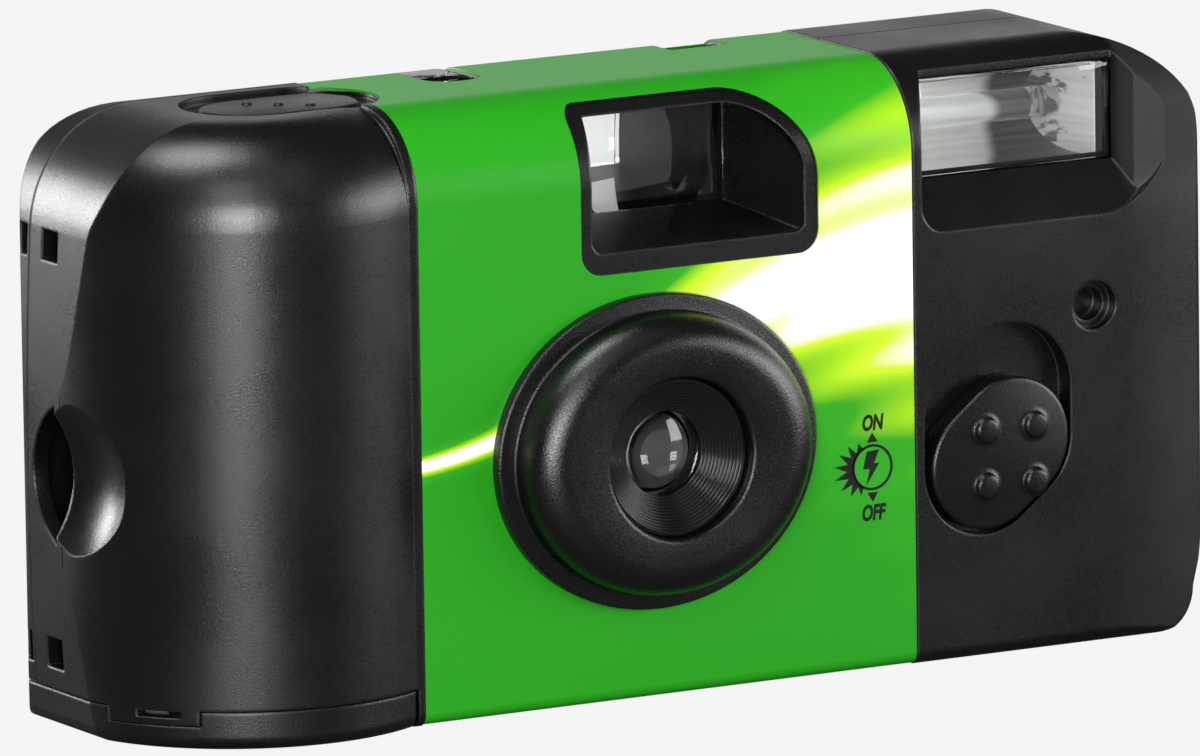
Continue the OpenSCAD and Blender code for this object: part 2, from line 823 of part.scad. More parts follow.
module release_lever() {
    z = lever_z + lever_t / 2;
    color([0.3, 0.3, 0.32]) {
        box([button_x - lever_w / 2, pivot_y - 3, lever_z],
            [button_x + lever_w / 2, button_y - 0.6, lever_z + lever_t]);
        x_rod(pivot_y, z, button_x - lever_w / 2 - ear_t, button_x + lever_w / 2 + ear_t, pivot_r);
    }
}

module shutter_button() {
    color([0.08, 0.08, 0.09]) {
        button_at(flange_z, body_h - 0.3, 0);
        button_at(flange_z, flange_z + flange_t, 0.7);
        z_rod(button_x, button_y - 1.5, lever_z + lever_t + 0.05, flange_z + 0.1, 0.7);
        for (k = [-1:1]) {
            translate([button_x + 2.2 * k, button_y - 1.75 * k, body_h - 0.4]) cylinder(h = 0.25, r = 0.45);
        }
    }
}

// Film transport

module main_frame() {
    gate_x0 = cart_x + cart_room - 1;
    gate_x1 = roll_x - roll_room + 1;
    open_y = film_y - 1.2;
    color([0.1, 0.1, 0.1]) difference() {
        union() {
            intersection() {
                along_z(lens_z - gate_h, lens_z + gate_h)
                    polygon([[lens_x - box_mouth - 1, box_y], [lens_x + box_mouth + 1, box_y],
                        [lens_x + gate_w / 2 + 1, film_y], [lens_x - gate_w / 2 - 1, film_y]]);
                along_x(lens_x - gate_w, lens_x + gate_w)
                    polygon([[box_y, lens_z - box_mouth - 1], [box_y, lens_z + box_mouth + 1],
                        [film_y, lens_z + gate_h / 2 + 1], [film_y, lens_z - gate_h / 2 - 1]]);
            }
            box([gate_x0, film_y - rail_t, film_z0 - 1.5], [gate_x1, film_y, deck_z1]);
            z_rod(cart_x, cart_y, cart_z0 + 1.9, roof_z0 + roof_t, chamber_r);
            z_rod(roll_x, roll_y, film_z0 - 1.5, deck_z1, roll_room + roll_wall);
            box([sprocket_x - 5.5, vf_y + 1, deck_z0], [roll_x + roll_room + 3, film_y, deck_z1]);
            box([sprocket_x - 2.5, sprocket_y - 2.5, sprocket_z0 - slack - 1.2],
                [sprocket_x + 2.5, film_y, sprocket_z0 - slack]);
            z_rod(disc_x, disc_y, deck_z0, disc_z - slack, 1.2);
            z_rod(disc_x, disc_y, deck_z0, disc_z + disc_t + 0.4, 0.8);
        }
        intersection() {
            along_z(lens_z - gate_h, lens_z + gate_h)
                polygon([[lens_x - box_mouth, box_y - 0.1], [lens_x + box_mouth, box_y - 0.1],
                    [lens_x + gate_w / 2, film_y + 0.1], [lens_x - gate_w / 2, film_y + 0.1]]);
            along_x(lens_x - gate_w, lens_x + gate_w)
                polygon([[box_y - 0.1, lens_z - box_mouth], [box_y - 0.1, lens_z + box_mouth],
                    [film_y + 0.1, lens_z + gate_h / 2], [film_y + 0.1, lens_z - gate_h / 2]]);
        }
        z_rod(cart_x, cart_y, 0, roof_z0, cart_room);
        z_rod(cart_x, cart_y, roof_z0 - 0.1, roof_z0 + roof_t + 0.1, neck_r + slack + 0.3);
        z_rod(roll_x, roll_y, film_z0 - 0.7, deck_z0, roll_room);
        z_rod(roll_x, roll_y, film_z0 - 2, deck_z1 + 1, 1.2 + run);
        box([cart_x - 8, open_y, 0], [gate_x0 + 0.8, reach, body_h]);
        box([-reach, seam_left - slack, 0], [cart_x - 7, reach, body_h]);
        box([gate_x1 - 0.8, open_y, 0], [reach, reach, deck_z0 - 0.01]);
        box([gate_x1 - 0.8, inner_rear - slack, 0], [reach, reach, body_h]);
        z_rod(sprocket_x, sprocket_y, sprocket_z0 - slack, sprocket_z0 + sprocket_t + slack,
            sprocket_r + slack);
        z_rod(sprocket_x, sprocket_y, deck_z0 - 1, deck_z1 + 1, shaft_r + run);
        z_rod(sprocket_x, sprocket_y, sprocket_z0 - 3, sprocket_z0 + 1, 1 + run);
    }
}

module cartridge_shell() {
    slot_y = film_y + film_t / 2;
    slot_x = cart_x + sqrt(pow(cart_r, 2) - pow(slot_y - cart_y, 2));
    color([0.75, 0.72, 0.6]) difference() {
        z_rod(cart_x, cart_y, cart_z0 + cap_t, cart_z1 - cap_t, cart_r);
        z_rod(cart_x, cart_y, cart_z0, cart_z1, cart_r - can_t);
        box([slot_x - 3, slot_y - 0.9, film_z0 - 0.5], [slot_x + 3, slot_y + 0.9, film_z1 + 0.5]);
    }
}

module cartridge_caps() {
    color([0.2, 0.2, 0.21]) difference() {
        for (z = [cart_z0, cart_z1 - cap_t]) z_rod(cart_x, cart_y, z, z + cap_t, cart_r);
        z_rod(cart_x, cart_y, cart_z0 - 1, cart_z1 + 1, neck_r + run);
    }
}

module cartridge_spool() {
    color([0.12, 0.12, 0.13]) {
        z_rod(cart_x, cart_y, cart_z0 + cap_t + slack, cart_z1 - cap_t - slack, spool_r);
        z_rod(cart_x, cart_y, cart_z0 + 0.05, wheel_z1 - 0.8, neck_r);
    }
}

module cartridge_felt() {
    slot_y = film_y + film_t / 2;
    slot_x = cart_x + sqrt(pow(cart_r, 2) - pow(slot_y - cart_y, 2));
    color([0.15, 0.15, 0.16]) for (s = [-1, 1]) {
        box([slot_x - 1.2, slot_y + s * 0.5 - 0.35, film_z0 - 0.4],
            [slot_x - 0.1, slot_y + s * 0.5 + 0.35, film_z1 + 0.4]);
    }
}

module film_strip() {
    start_x = cart_x + sqrt(pow(cart_r, 2) - pow(film_y - cart_y, 2)) - 1.5;
    bend_x = lens_x + gate_w / 2 + 1.5;
    end_y = roll_y + roll_r + slack;
    color([0.35, 0.25, 0.3]) along_z(film_z0, film_z1)
        polygon([[start_x, film_y], [bend_x, film_y], [roll_x, end_y], [roll_x + 1.5, end_y],
            [roll_x + 1.5, end_y + film_t], [roll_x - 0.05, end_y + film_t],
            [bend_x - 0.05, film_y + film_t], [start_x, film_y + film_t]]);
}

module supply_spool() {
    color([0.14, 0.14, 0.15]) {
        z_rod(roll_x, roll_y, film_z0 - 0.3, film_z1 + 0.4, core_r);
        z_rod(roll_x, roll_y, film_z0 - 1.5, deck_z1, 1.2);
    }
}

module film_roll() {
    color([0.3, 0.22, 0.26]) difference() {
        z_rod(roll_x, roll_y, film_z0, film_z1, roll_r);
        z_rod(roll_x, roll_y, film_z0 - 1, film_z1 + 1, core_r);
    }
}

module advance_wheel() {
    notches = 40;
    color([0.12, 0.12, 0.13]) difference() {
        z_rod(cart_x, cart_y, wheel_z0, wheel_z1, wheel_r);
        z_rod(cart_x, cart_y, wheel_z0 - 1, wheel_z1 - 0.7, neck_r + 0.02);
        for (k = [0:notches - 1]) {
            a = 360 * k / notches;
            z_rod(cart_x + (wheel_r + 0.25) * cos(a), cart_y + (wheel_r + 0.25) * sin(a),
                wheel_z0 - 1, wheel_z1 + 1, 0.62);
        }
    }
}

module wheel_pawl() {
    x = cart_x + wheel_r + slack + 0.1;
    color([0.2, 0.2, 0.2]) {
        box([x, cart_y - 5, wheel_z0 + 0.4], [x + 0.6, cart_y - 0.6, wheel_z1 - 0.4]);
        box([x, cart_y - 5, deck_z1], [x + 2.4, cart_y - 3, wheel_z1 - 0.4]);
    }
}

module sprocket_shaft() {
    color([0.85, 0.85, 0.83]) {
        z_rod(sprocket_x, sprocket_y, sprocket_z0, sprocket_z0 + sprocket_t, sprocket_r - 0.8);
        for (k = [0:sprocket_teeth - 1]) {
            translate([sprocket_x, sprocket_y, sprocket_z0 + 0.4]) rotate(360 * k / sprocket_teeth)
                translate([0, -0.6, 0]) cube([sprocket_r - 0.05, 1.2, 1.8]);
        }
        z_rod(sprocket_x, sprocket_y, sprocket_z0, disc_z - slack, shaft_r);
        z_rod(sprocket_x, sprocket_y, sprocket_z0 - slack - 1.2, sprocket_z0 + 0.1, 1);
    }
}

module counter_disc() {
    color([0.92, 0.92, 0.9]) difference() {
        z_rod(disc_x, disc_y, disc_z, disc_z + disc_t, disc_r);
        z_rod(disc_x, disc_y, disc_z - 1, disc_z + disc_t + 1, 0.8 + run);
    }
}

module counter_window() {
    color([0.8, 0.85, 0.88, 0.5]) {
        along_z(inner_top - 0.4, body_h - 0.5) counter_opening(-0.1);
        intersection() {
            along_z(inner_top - 0.9, inner_top) counter_opening(0.5);
            box([-reach, -reach, 0], [reach, inner_rear - inset_r(rear_top_r, wall) - 0.1, body_h]);
        }
    }
}

// Viewfinder

module viewfinder_objective() {
    half = vf_lens_w / 2 + 0.7;
    mid_z = (vf_sill + inner_top) / 2;
    dish_r = 30;
    color([0.8, 0.85, 0.9, 0.4]) difference() {
        box([vf_mid - half, vf_y + 0.05, vf_sill - 0.5], [vf_mid + half, vf_y + vf_lens_t, inner_top - 0.1]);
        translate([vf_mid, vf_y + 0.9 - dish_r, mid_z]) sphere(dish_r, $fn = 240);
    }
}

module viewfinder_tube() {
    y0 = vf_y + vf_lens_t;
    front = vf_lens_w / 2 + 0.7;
    rear = eye_w / 2 + 0.6;
    top = tube_top;
    rear_top = eye_z + eye_h + 0.6;
    t = tube_t;
    color([0.07, 0.07, 0.07]) difference() {
        intersection() {
            along_z(deck_z1, top) polygon([[vf_mid - front, y0], [vf_mid + front, y0],
                [vf_mid + rear, eye_y], [vf_mid - rear, eye_y]]);
            along_x(vf_mid - front, vf_mid + front)
                polygon([[y0, deck_z1], [eye_y, deck_z1], [eye_y, rear_top], [y0, top]]);
        }
        intersection() {
            along_z(deck_z1 + t, top) polygon([[vf_mid - front + t, y0 - 0.1], [vf_mid + front - t, y0 - 0.1],
                [vf_mid + rear - t, eye_y + 0.1], [vf_mid - rear + t, eye_y + 0.1]]);
            along_x(vf_mid - front, vf_mid + front)
                polygon([[y0 - 0.1, deck_z1 + t], [eye_y + 0.1, eye_z], [eye_y + 0.1, rear_top - t],
                    [y0 - 0.1, top - t]]);
        }
    }
}

module viewfinder_eyepiece() {
    lens_r = 14;
    color([0.8, 0.85, 0.9, 0.4]) intersection() {
        box([vf_mid - eye_w / 2, eye_y + 0.05, eye_z], [vf_mid + eye_w / 2, rear_y - 0.4, eye_z + eye_h]);
        translate([vf_mid, rear_y - 0.4 - lens_r, eye_z + eye_h / 2]) sphere(lens_r);
    }
}

// Flash

module flash_lens() {
    color([0.85, 0.88, 0.9, 0.4])
        box([panel_x0, flash_y, panel_z0], [panel_x0 + panel_w, trough_y0, panel_z1]);
}

module flash_reflector() {
    x0 = panel_x0 - 0.1;
    x1 = panel_x0 + panel_w + 0.1;
    top = panel_z1 - 0.3;
    color([0.85, 0.85, 0.87]) difference() {
        box([x0, trough_y0, deck_z1], [x1, trough_y0 + trough_d, top]);
        along_x(x0 + 0.8, x1 - 0.8) {
            polygon([[trough_y0 - 1, panel_z0 + 0.2], [tube_y, tube_z - 2.4], [tube_y, tube_z + 2.4],
                [trough_y0 - 1, top - 0.2]]);
            translate([tube_y, tube_z]) circle(2.4);
        }
        x_rod(tube_y, tube_z, x0 - 1, x1 + 1, tube_r + run);
    }
}

module flash_tube() {
    color([0.9, 0.92, 0.95, 0.5])
        x_rod(tube_y, tube_z, panel_x0 - 1.6, panel_x0 + panel_w + 1.6, tube_r);
}

module flash_board() {
    color([0.5, 0.38, 0.2]) box([board_x0, board_y, board_z0],
        [capacitor_x + 2, board_y + board_t, board_z1]);
}

module flash_capacitor() {
    color([0.15, 0.15, 0.18]) z_rod(capacitor_x, capacitor_y, board_z0 + 3, board_z1 - 2, cap_r);
}

module flash_transformer() {
    color([0.75, 0.65, 0.2]) box([roll_x - 3, trough_y0 + trough_d + 1, deck_z1],
        [roll_x + 6, film_y, deck_z1 + 8]);
}

module trigger_coil() {
    r = 2.6;
    color([0.7, 0.5, 0.25]) x_rod(film_y - r - 0.5, deck_z1 + r, roll_x + 6.5, roll_x + 11.5, r);
}

module battery() {
    x1 = cell_x0 + cell_l;
    color([0.75, 0.6, 0.3]) {
        x_rod(cell_y, cell_z, cell_x0, x1 - 1, cell_r);
        x_rod(cell_y, cell_z, x1 - 1.1, x1, 1.9);
    }
}

module battery_contact(x) {
    color([0.8, 0.8, 0.78]) box([x, cell_y - 3.2, wall + 0.1], [x + contact_t, cell_y + 2.8, cell_z + 4.2]);
}

module battery_contact_pos() {
    battery_contact(cell_x0 + cell_l);
}

module battery_contact_neg() {
    battery_contact(cell_x0 - contact_t);
}

// Controls

module flash_switch() {
    color([0.09, 0.09, 0.1]) {
        along_y(front_y - 0.5, pocket_y - 0.25) switch_oval(0);
        box([switch_x - stem_w / 2, pocket_y - 0.3, switch_z - stem_w / 2],
            [switch_x + stem_w / 2, link_y, switch_z + stem_w / 2]);
        for (sx = [-1, 1], sz = [-1, 1]) {
            y_rod(switch_x + 0.95 + sx * bump_step / 2, switch_z - 0.3 + sz * bump_step / 2,
                front_y - 1.1, front_y, 1.2);
        }
    }
}

module switch_slider() {
    back = lamp_y + 1;
    z0 = switch_z - stem_w / 2;
    z1 = switch_z + stem_w / 2;
    low_z1 = body_h - 14;
    color([0.2, 0.2, 0.21]) {
        box([bar_x0, link_y, z0], [switch_x + stem_w / 2, link_y + link_t, z1]);
        box([bar_x0, link_y, z0], [bar_x0 + bar_w, link_y + 1.85, low_z1]);
        box([bar_x0, link_y + link_t, z0], [bar_x0 + bar_w, link_y + 1.85, arm_z1]);
        box([bar_x0, link_y + link_t, arm_z0], [bar_x0 + bar_w, back, arm_z1]);
        box([lamp_x + lamp_w / 2 - 1.2, lamp_y - 1, arm_z0], [bar_x0 + bar_w, back, arm_z1]);
    }
}

module switch_contact() {
    x = switch_x + stem_w / 2 + 0.9;
    color([0.8, 0.65, 0.25]) box([x, board_y - 0.4, switch_z - 6], [x + 2, board_y, switch_z + 8]);
}

module ready_lamp() {
    color([0.9, 0.6, 0.35, 0.6]) {
        z_rod(lamp_x - 0.9, lamp_y, deck_z1, arm_z1 - slack - 1, 1.6);
    }
}

module lamp_guide() {
    color([0.85, 0.45, 0.25, 0.6]) along_z(arm_z1, body_h - lamp_sink) lamp_opening(0);
}

front_cover();
rear_cover();
bottom_lid();
label_wrap();
lens_bezel();
lens_retainer();
taking_lens();
main_frame();
shutter_plate();
shutter_blade();
kick_lever();
kick_spring();
release_lever();
shutter_button();
advance_wheel();
wheel_pawl();
sprocket_shaft();
counter_disc();
counter_window();
cartridge_shell();
cartridge_caps();
cartridge_spool();
cartridge_felt();
film_strip();
supply_spool();
film_roll();
viewfinder_tube();
viewfinder_objective();
viewfinder_eyepiece();
flash_lens();
flash_reflector();
flash_tube();
flash_board();
flash_capacitor();
flash_transformer();
trigger_coil();
sync_contact();
battery();
battery_contact_pos();
battery_contact_neg();
flash_switch();
switch_slider();
switch_contact();
ready_lamp();
lamp_guide();
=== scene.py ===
"""Looks of a single-use film camera: moulded covers, printed wrap, lens, viewfinder, flash and controls.

Sizes are in millimetres in the part's own frame: X to the flash end, Y to the back, Z up.
"""

from __future__ import annotations

import logging
import math
from dataclasses import dataclass
from enum import Enum
from typing import Callable, Iterable, Sequence

import bmesh
import bpy
from mathutils import Matrix, Vector

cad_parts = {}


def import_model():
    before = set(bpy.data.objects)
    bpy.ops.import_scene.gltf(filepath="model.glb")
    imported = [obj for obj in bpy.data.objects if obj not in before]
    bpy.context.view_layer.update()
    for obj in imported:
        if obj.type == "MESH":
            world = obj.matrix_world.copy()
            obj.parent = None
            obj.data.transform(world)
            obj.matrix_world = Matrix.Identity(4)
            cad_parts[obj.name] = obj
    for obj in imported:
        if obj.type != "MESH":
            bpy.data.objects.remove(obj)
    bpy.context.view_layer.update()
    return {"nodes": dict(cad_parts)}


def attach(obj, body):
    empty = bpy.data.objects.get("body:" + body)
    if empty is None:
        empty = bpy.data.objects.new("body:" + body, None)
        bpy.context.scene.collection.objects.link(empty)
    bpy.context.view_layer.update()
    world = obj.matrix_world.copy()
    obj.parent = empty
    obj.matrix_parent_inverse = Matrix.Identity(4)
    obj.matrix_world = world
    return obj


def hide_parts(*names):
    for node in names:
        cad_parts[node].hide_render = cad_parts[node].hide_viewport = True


LOG = logging.getLogger("camera")
MM = 0.001
BEVEL_SAMPLES = 6
Point2 = tuple[float, float]
Point3 = tuple[float, float, float]
Colour = tuple[float, float, float]
Socket = bpy.types.NodeSocket


class Body(str, Enum):
    """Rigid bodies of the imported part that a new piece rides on."""

    CASE = "body"
    BUTTON = "button"
    COUNTER = "counter"
    SWITCH = "switch"


class Slot(str, Enum):
    """Material slots of the record."""

    COVER = "cover_black"
    LABEL = "label_print"
    BEZEL = "bezel_black"
    INNER = "inner_black"
    LENS = "clear_lens"
    PANEL = "clear_panel"
    FOIL = "reflector"
    WHITE = "white_plastic"


# Shader nodes


def toned(colour: Colour, factor: float) -> Colour:
    """Makes a colour darker or lighter.

    Args:
        colour: The colour.
        factor: What each channel is multiplied by.

    Returns:
        The new colour.
    """
    return colour[0] * factor, colour[1] * factor, colour[2] * factor


class Nodes:
    """A node tree, with short ways to add and join nodes."""

    def __init__(self, tree: bpy.types.NodeTree) -> None:
        """Keeps the tree's nodes and links.

        Args:
            tree: The node tree.
        """
        self.nodes, self.links = tree.nodes, tree.links

    def put(self, socket: Socket, value: Socket | float | tuple[float, ...]) -> None:
        """Joins an input to a socket, or sets its value.

        Args:
            socket: The input.
            value: A socket, number, vector or colour.
        """
        if isinstance(value, bpy.types.NodeSocket):
            self.links.new(value, socket)
        else:
            socket.default_value = (*value, 1.0) if socket.type == "RGBA" else value

    def fill(self, node: bpy.types.Node, **values: Socket | float | tuple[float, ...]) -> bpy.types.Node:
        """Fills inputs of a node.

        Args:
            node: The node.
            values: What goes into each input; an underscore in a name stands for a space.

        Returns:
            The same node.
        """
        for key, value in values.items():
            self.put(node.inputs[key.replace("_", " ")], value)
        return node

    def add(self, kind: str, settings: dict[str, str | int] | None = None,
            **values: Socket | float | tuple[float, ...]) -> bpy.types.Node:
        """Adds a node.

        Args:
            kind: Its type, without the leading ShaderNode.
            settings: Its properties, which are set before its inputs.
            values: What goes into each input; an underscore in a name stands for a space.

        Returns:
            The new node.
        """
        node = self.nodes.new("ShaderNode" + kind)
        for key, value in (settings or {}).items():
            setattr(node, key, value)
        return self.fill(node, **values)

    def math(self, operation: str, first: Socket | float, second: Socket | float = 0.0,
             third: Socket | float = 0.0, clamp: bool = False) -> Socket:
        """Adds one Math node.

        Args:
            operation: Blender's name of the operation.
            first: First value or socket.
            second: Second value or socket, where the operation has one.
            third: Third value or socket, where the operation has one.
            clamp: Whether the result stays between 0 and 1.

        Returns:
            The result's socket.
        """
        node = self.add("Math", {"operation": operation, "use_clamp": clamp})
        for socket, value in zip(node.inputs, (first, second, third)):
            self.put(socket, value)
        return node.outputs["Value"]

    def noise(self, scale: Socket | float, detail: float = 2.0, roughness: float = 0.5,
              stretch: Point3 | None = None) -> Socket:
        """Adds a noise on the piece's own coordinates.

        Args:
            scale: Its scale, in steps per metre.
            detail: Its number of finer layers.
            roughness: How strong the finer layers are.
            stretch: A scale of its own along X, Y and Z, or none.

        Returns:
            The noise's socket.
        """
        spot = self.add("TexCoord").outputs["Object"]
        if stretch is not None:
            spot = self.add("Mapping", Vector=spot, Scale=stretch).outputs["Vector"]
        return self.add("TexNoise", Vector=spot, Scale=scale, Detail=detail, Roughness=roughness).outputs["Fac"]

    def shown(self, others: Socket, camera: Socket, share: float) -> Socket:
        """Mixes in a shader that only the camera sees, directly or through clear pieces.

        Args:
            others: Shader for every other ray.
            camera: Shader for the camera.
            share: How much of it the camera sees.

        Returns:
            The mixed shader's socket.
        """
        path = self.add("LightPath")
        seen = self.math("ADD", path.outputs["Is Camera Ray"], path.outputs["Is Transmission Ray"], clamp=True)
        mix = self.add("MixShader", Fac=self.math("MULTIPLY", seen, share))
        self.put(mix.inputs[1], others)
        self.put(mix.inputs[2], camera)
        return mix.outputs["Shader"]


class ShaderGroups:
    """Node groups that several finishes place with their own values."""

    def __init__(self) -> None:
        """Makes every group once."""
        self.grain = self._grain()
        self.edges = self._edges()

    @staticmethod
    def _new(name: str, inputs: dict[str, float], outputs: Sequence[str]) -> bpy.types.NodeTree:
        """Makes an empty group with its sockets.

        Args:
            name: Name of the group.
            inputs: Default of each input.
            outputs: Name of each output.

        Returns:
            The new node tree, with its input and output nodes.
        """
        tree = bpy.data.node_groups.new(name, "ShaderNodeTree")
        for label, default in inputs.items():
            socket = tree.interface.new_socket(name=label, in_out="INPUT", socket_type="NodeSocketFloat")
            socket.default_value = default
        for label in outputs:
            tree.interface.new_socket(name=label, in_out="OUTPUT", socket_type="NodeSocketFloat")
        tree.nodes.new("NodeGroupInput")
        tree.nodes.new("NodeGroupOutput")
        return tree

    def _grain(self) -> bpy.types.NodeTree:
        """Fine moulded grain with a slow mottle over it.

        Returns:
            The group, with a height and a tone.
        """
        tree = self._new("moulded_grain", {"Grain Scale": 4000.0, "Mottle Scale": 120.0}, ("Height", "Tone"))
        make = Nodes(tree)
        source = make.nodes["Group Input"]
        fine = make.noise(source.outputs["Grain Scale"], 3.0, 0.6)
        slow = make.noise(source.outputs["Mottle Scale"], 4.0)
        tone = make.math("MULTIPLY_ADD", fine, 0.5, make.math("MULTIPLY", slow, 0.5))
        make.fill(make.nodes["Group Output"], Height=fine, Tone=tone)
        return tree

    def _edges(self) -> bpy.types.NodeTree:
        """Mask of painted edge highlights, from how far a rounded normal turns away from the face.

        Returns:
            The group, with a mask.
        """
        # Painted highlight: this mask marks where edges are lightened to stand in for edge highlights.
        tree = self._new("painted_edge_highlights", {"Radius": 0.0004}, ("Mask",))
        make = Nodes(tree)
        radius = make.nodes["Group Input"].outputs["Radius"]
        rounded = make.add("Bevel", {"samples": BEVEL_SAMPLES}, Radius=radius)
        dot = make.add("VectorMath", {"operation": "DOT_PRODUCT"})
        make.put(dot.inputs[0], rounded.outputs["Normal"])
        make.put(dot.inputs[1], make.add("NewGeometry").outputs["Normal"])
        mask = make.add("MapRange", Value=dot.outputs["Value"], From_Min=0.98, From_Max=0.75)
        make.fill(make.nodes["Group Output"], Mask=mask.outputs["Result"])
        return tree


class ShaderBuilder(Nodes):
    """One material's node tree round its Principled shader."""

    def __init__(self, name: str) -> None:
        """Starts a material.

        Args:
            name: Name of the material.
        """
        self.material = bpy.data.materials.new(name)
        self.material.use_nodes = True
        super().__init__(self.material.node_tree)
        self.shader = self.nodes["Principled BSDF"]

    def set(self, **values: Socket | float | Colour) -> None:
        """Fills inputs of the shader.

        Args:
            values: What goes into each input; an underscore in a name stands for a space.
        """
        self.fill(self.shader, **values)

    def group(self, tree: bpy.types.NodeTree, **values: float) -> bpy.types.Node:
        """Places a shared group with its own values.

        Args:
            tree: The group.
            values: Inputs of the group; an underscore stands for a space.

        Returns:
            The group node.
        """
        node = self.nodes.new("ShaderNodeGroup")
        node.node_tree = tree
        return self.fill(node, **values)

    def ramp(self, factor: Socket, stops: Sequence[tuple[float, Colour]]) -> Socket:
        """Adds a colour ramp.

        Args:
            factor: Socket that drives it.
            stops: Place and colour of each stop, in order.

        Returns:
            The colour's socket.
        """
        node = self.add("ValToRGB", Fac=factor)
        elements = node.color_ramp.elements
        while len(elements) < len(stops):
            elements.new(0.5)
        for element, (place, colour) in zip(elements, stops):
            element.position = place
            element.color = (*colour, 1.0)
        return node.outputs["Color"]

    def blend(self, factor: Socket, first: Socket | Colour, second: Socket | Colour) -> Socket:
        """Mixes two colours.

        Args:
            factor: Socket with the share of the second colour.
            first: First colour or socket.
            second: Second colour or socket.

        Returns:
            The mixed colour's socket.
        """
        node = self.add("Mix", {"data_type": "RGBA"}, Factor=factor)
        colours = [s for s in node.inputs if s.type == "RGBA"]
        for socket, value in zip(colours, (first, second)):
            self.put(socket, value)
        return next(s for s in node.outputs if s.type == "RGBA")

    def bump(self, height: Socket, strength: float, distance: float, round_edges: float = 0.0) -> None:
        """Drives the shader's normal by a height, over edges that are rounded a little.

        Args:
            height: Socket with the height.
            strength: Strength of the bump.
            distance: Height in metres that a value of 1 stands for.
            round_edges: Radius of the rounded edges, or 0 for none.
        """
        node = self.add("Bump", Strength=strength, Distance=distance, Height=height)
        if round_edges > 0:
            rounded = self.add("Bevel", {"samples": BEVEL_SAMPLES}, Radius=round_edges)
            self.fill(node, Normal=rounded.outputs["Normal"])
        self.set(Normal=node.outputs["Normal"])

    def place(self) -> tuple[Socket, Socket, Socket]:
        """Finds the place on the piece.

        Returns:
            The sockets of X, Y and Z in millimetres.
        """
        spot = self.add("TexCoord").outputs["Object"]
        scale = self.add("VectorMath", {"operation": "SCALE"}, Scale=1.0 / MM)
        self.put(scale.inputs[0], spot)
        split = self.add("SeparateXYZ", Vector=scale.outputs["Vector"])
        return split.outputs["X"], split.outputs["Y"], split.outputs["Z"]


# Finishes


class Finish:
    """A material that is made once from a few values."""

    name: str

    def paint(self, make: ShaderBuilder, groups: ShaderGroups) -> None:
        """Adds and joins the material's nodes.

        Args:
            make: The material under way.
            groups: The shared shader groups.
        """
        raise NotImplementedError

    def build(self, groups: ShaderGroups) -> bpy.types.Material:
        """Makes the material.

        Args:
            groups: The shared shader groups.

        Returns:
            The finished material.
        """
        make = ShaderBuilder(self.name)
        self.paint(make, groups)
        return make.material


@dataclass(frozen=True)
class Moulding(Finish):
    """Opaque moulded plastic with a fine grain and painted highlights on its edges; it can turn matte past one X and
    above one Z.
    """

    name: str
    colour: Colour
    # Lighter colour painted on edges as a highlight.
    rubbed: Colour
    roughness: float = 0.45
    grain: float = 4500.0
    depth: float = 0.00003
    strength: float = 0.35
    edge: float = 0.00035
    specular: float = 0.5
    speckle: float = 0.16
    mottle: float = 90.0
    # How strongly the painted edge highlight shows.
    wear: float = 0.6
    matte: Point2 | None = None
    matte_slopes: Point2 = (1.6, 0.2)
    matte_gain: float = 0.3

    def paint(self, make: ShaderBuilder, groups: ShaderGroups) -> None:
        """Joins grain, painted edge highlights and roughness.

        Args:
            make: The material under way.
            groups: The shared shader groups.
        """
        grain = make.group(groups.grain, Grain_Scale=self.grain, Mottle_Scale=self.mottle)
        edges = make.group(groups.edges, Radius=self.edge)
        tone = make.ramp(grain.outputs["Tone"], [(0.35, toned(self.colour, 0.8)), (0.65, toned(self.colour, 1.2))])
        # Painted highlight: edges are blended towards the lighter edge colour.
        edge_highlight_mask = make.math("MULTIPLY", edges.outputs["Mask"], self.wear)
        spread = make.math("MULTIPLY_ADD", grain.outputs["Tone"], self.speckle, self.roughness - self.speckle / 2.0)
        if self.matte is not None:
            x, _, z = make.place()
            past, over = (make.math("MULTIPLY_ADD", spot, slope, -slope * start, clamp=True)
                          for spot, slope, start in zip((x, z), self.matte_slopes, self.matte))
            spread = make.math("MULTIPLY_ADD", make.math("MULTIPLY", past, over), self.matte_gain, spread)
        make.set(Specular_IOR_Level=self.specular, Base_Color=make.blend(edge_highlight_mask, tone, self.rubbed), Roughness=spread)
        make.bump(grain.outputs["Height"], self.strength, self.depth, self.edge)


@dataclass(frozen=True)
class Metal(Finish):
    """Bare or plated metal with faint drawn lines."""

    name: str
    colour: Colour
    roughness: float = 0.25
    stretch: Point3 = (60.0, 60.0, 3000.0)

    def paint(self, make: ShaderBuilder, groups: ShaderGroups) -> None:
        """Joins the drawn lines to colour, roughness and height.

        Args:
            make: The material under way.
            groups: The shared shader groups, which this finish leaves aside.
        """
        lines = make.noise(1.0, 4.0, stretch=self.stretch)
        make.set(Metallic=1.0,
                 Base_Color=make.ramp(lines, [(0.3, toned(self.colour, 0.85)), (0.7, self.colour)]),
                 Roughness=make.math("MULTIPLY_ADD", lines, 0.2, self.roughness - 0.1))
        make.bump(lines, 0.15, 0.00002)


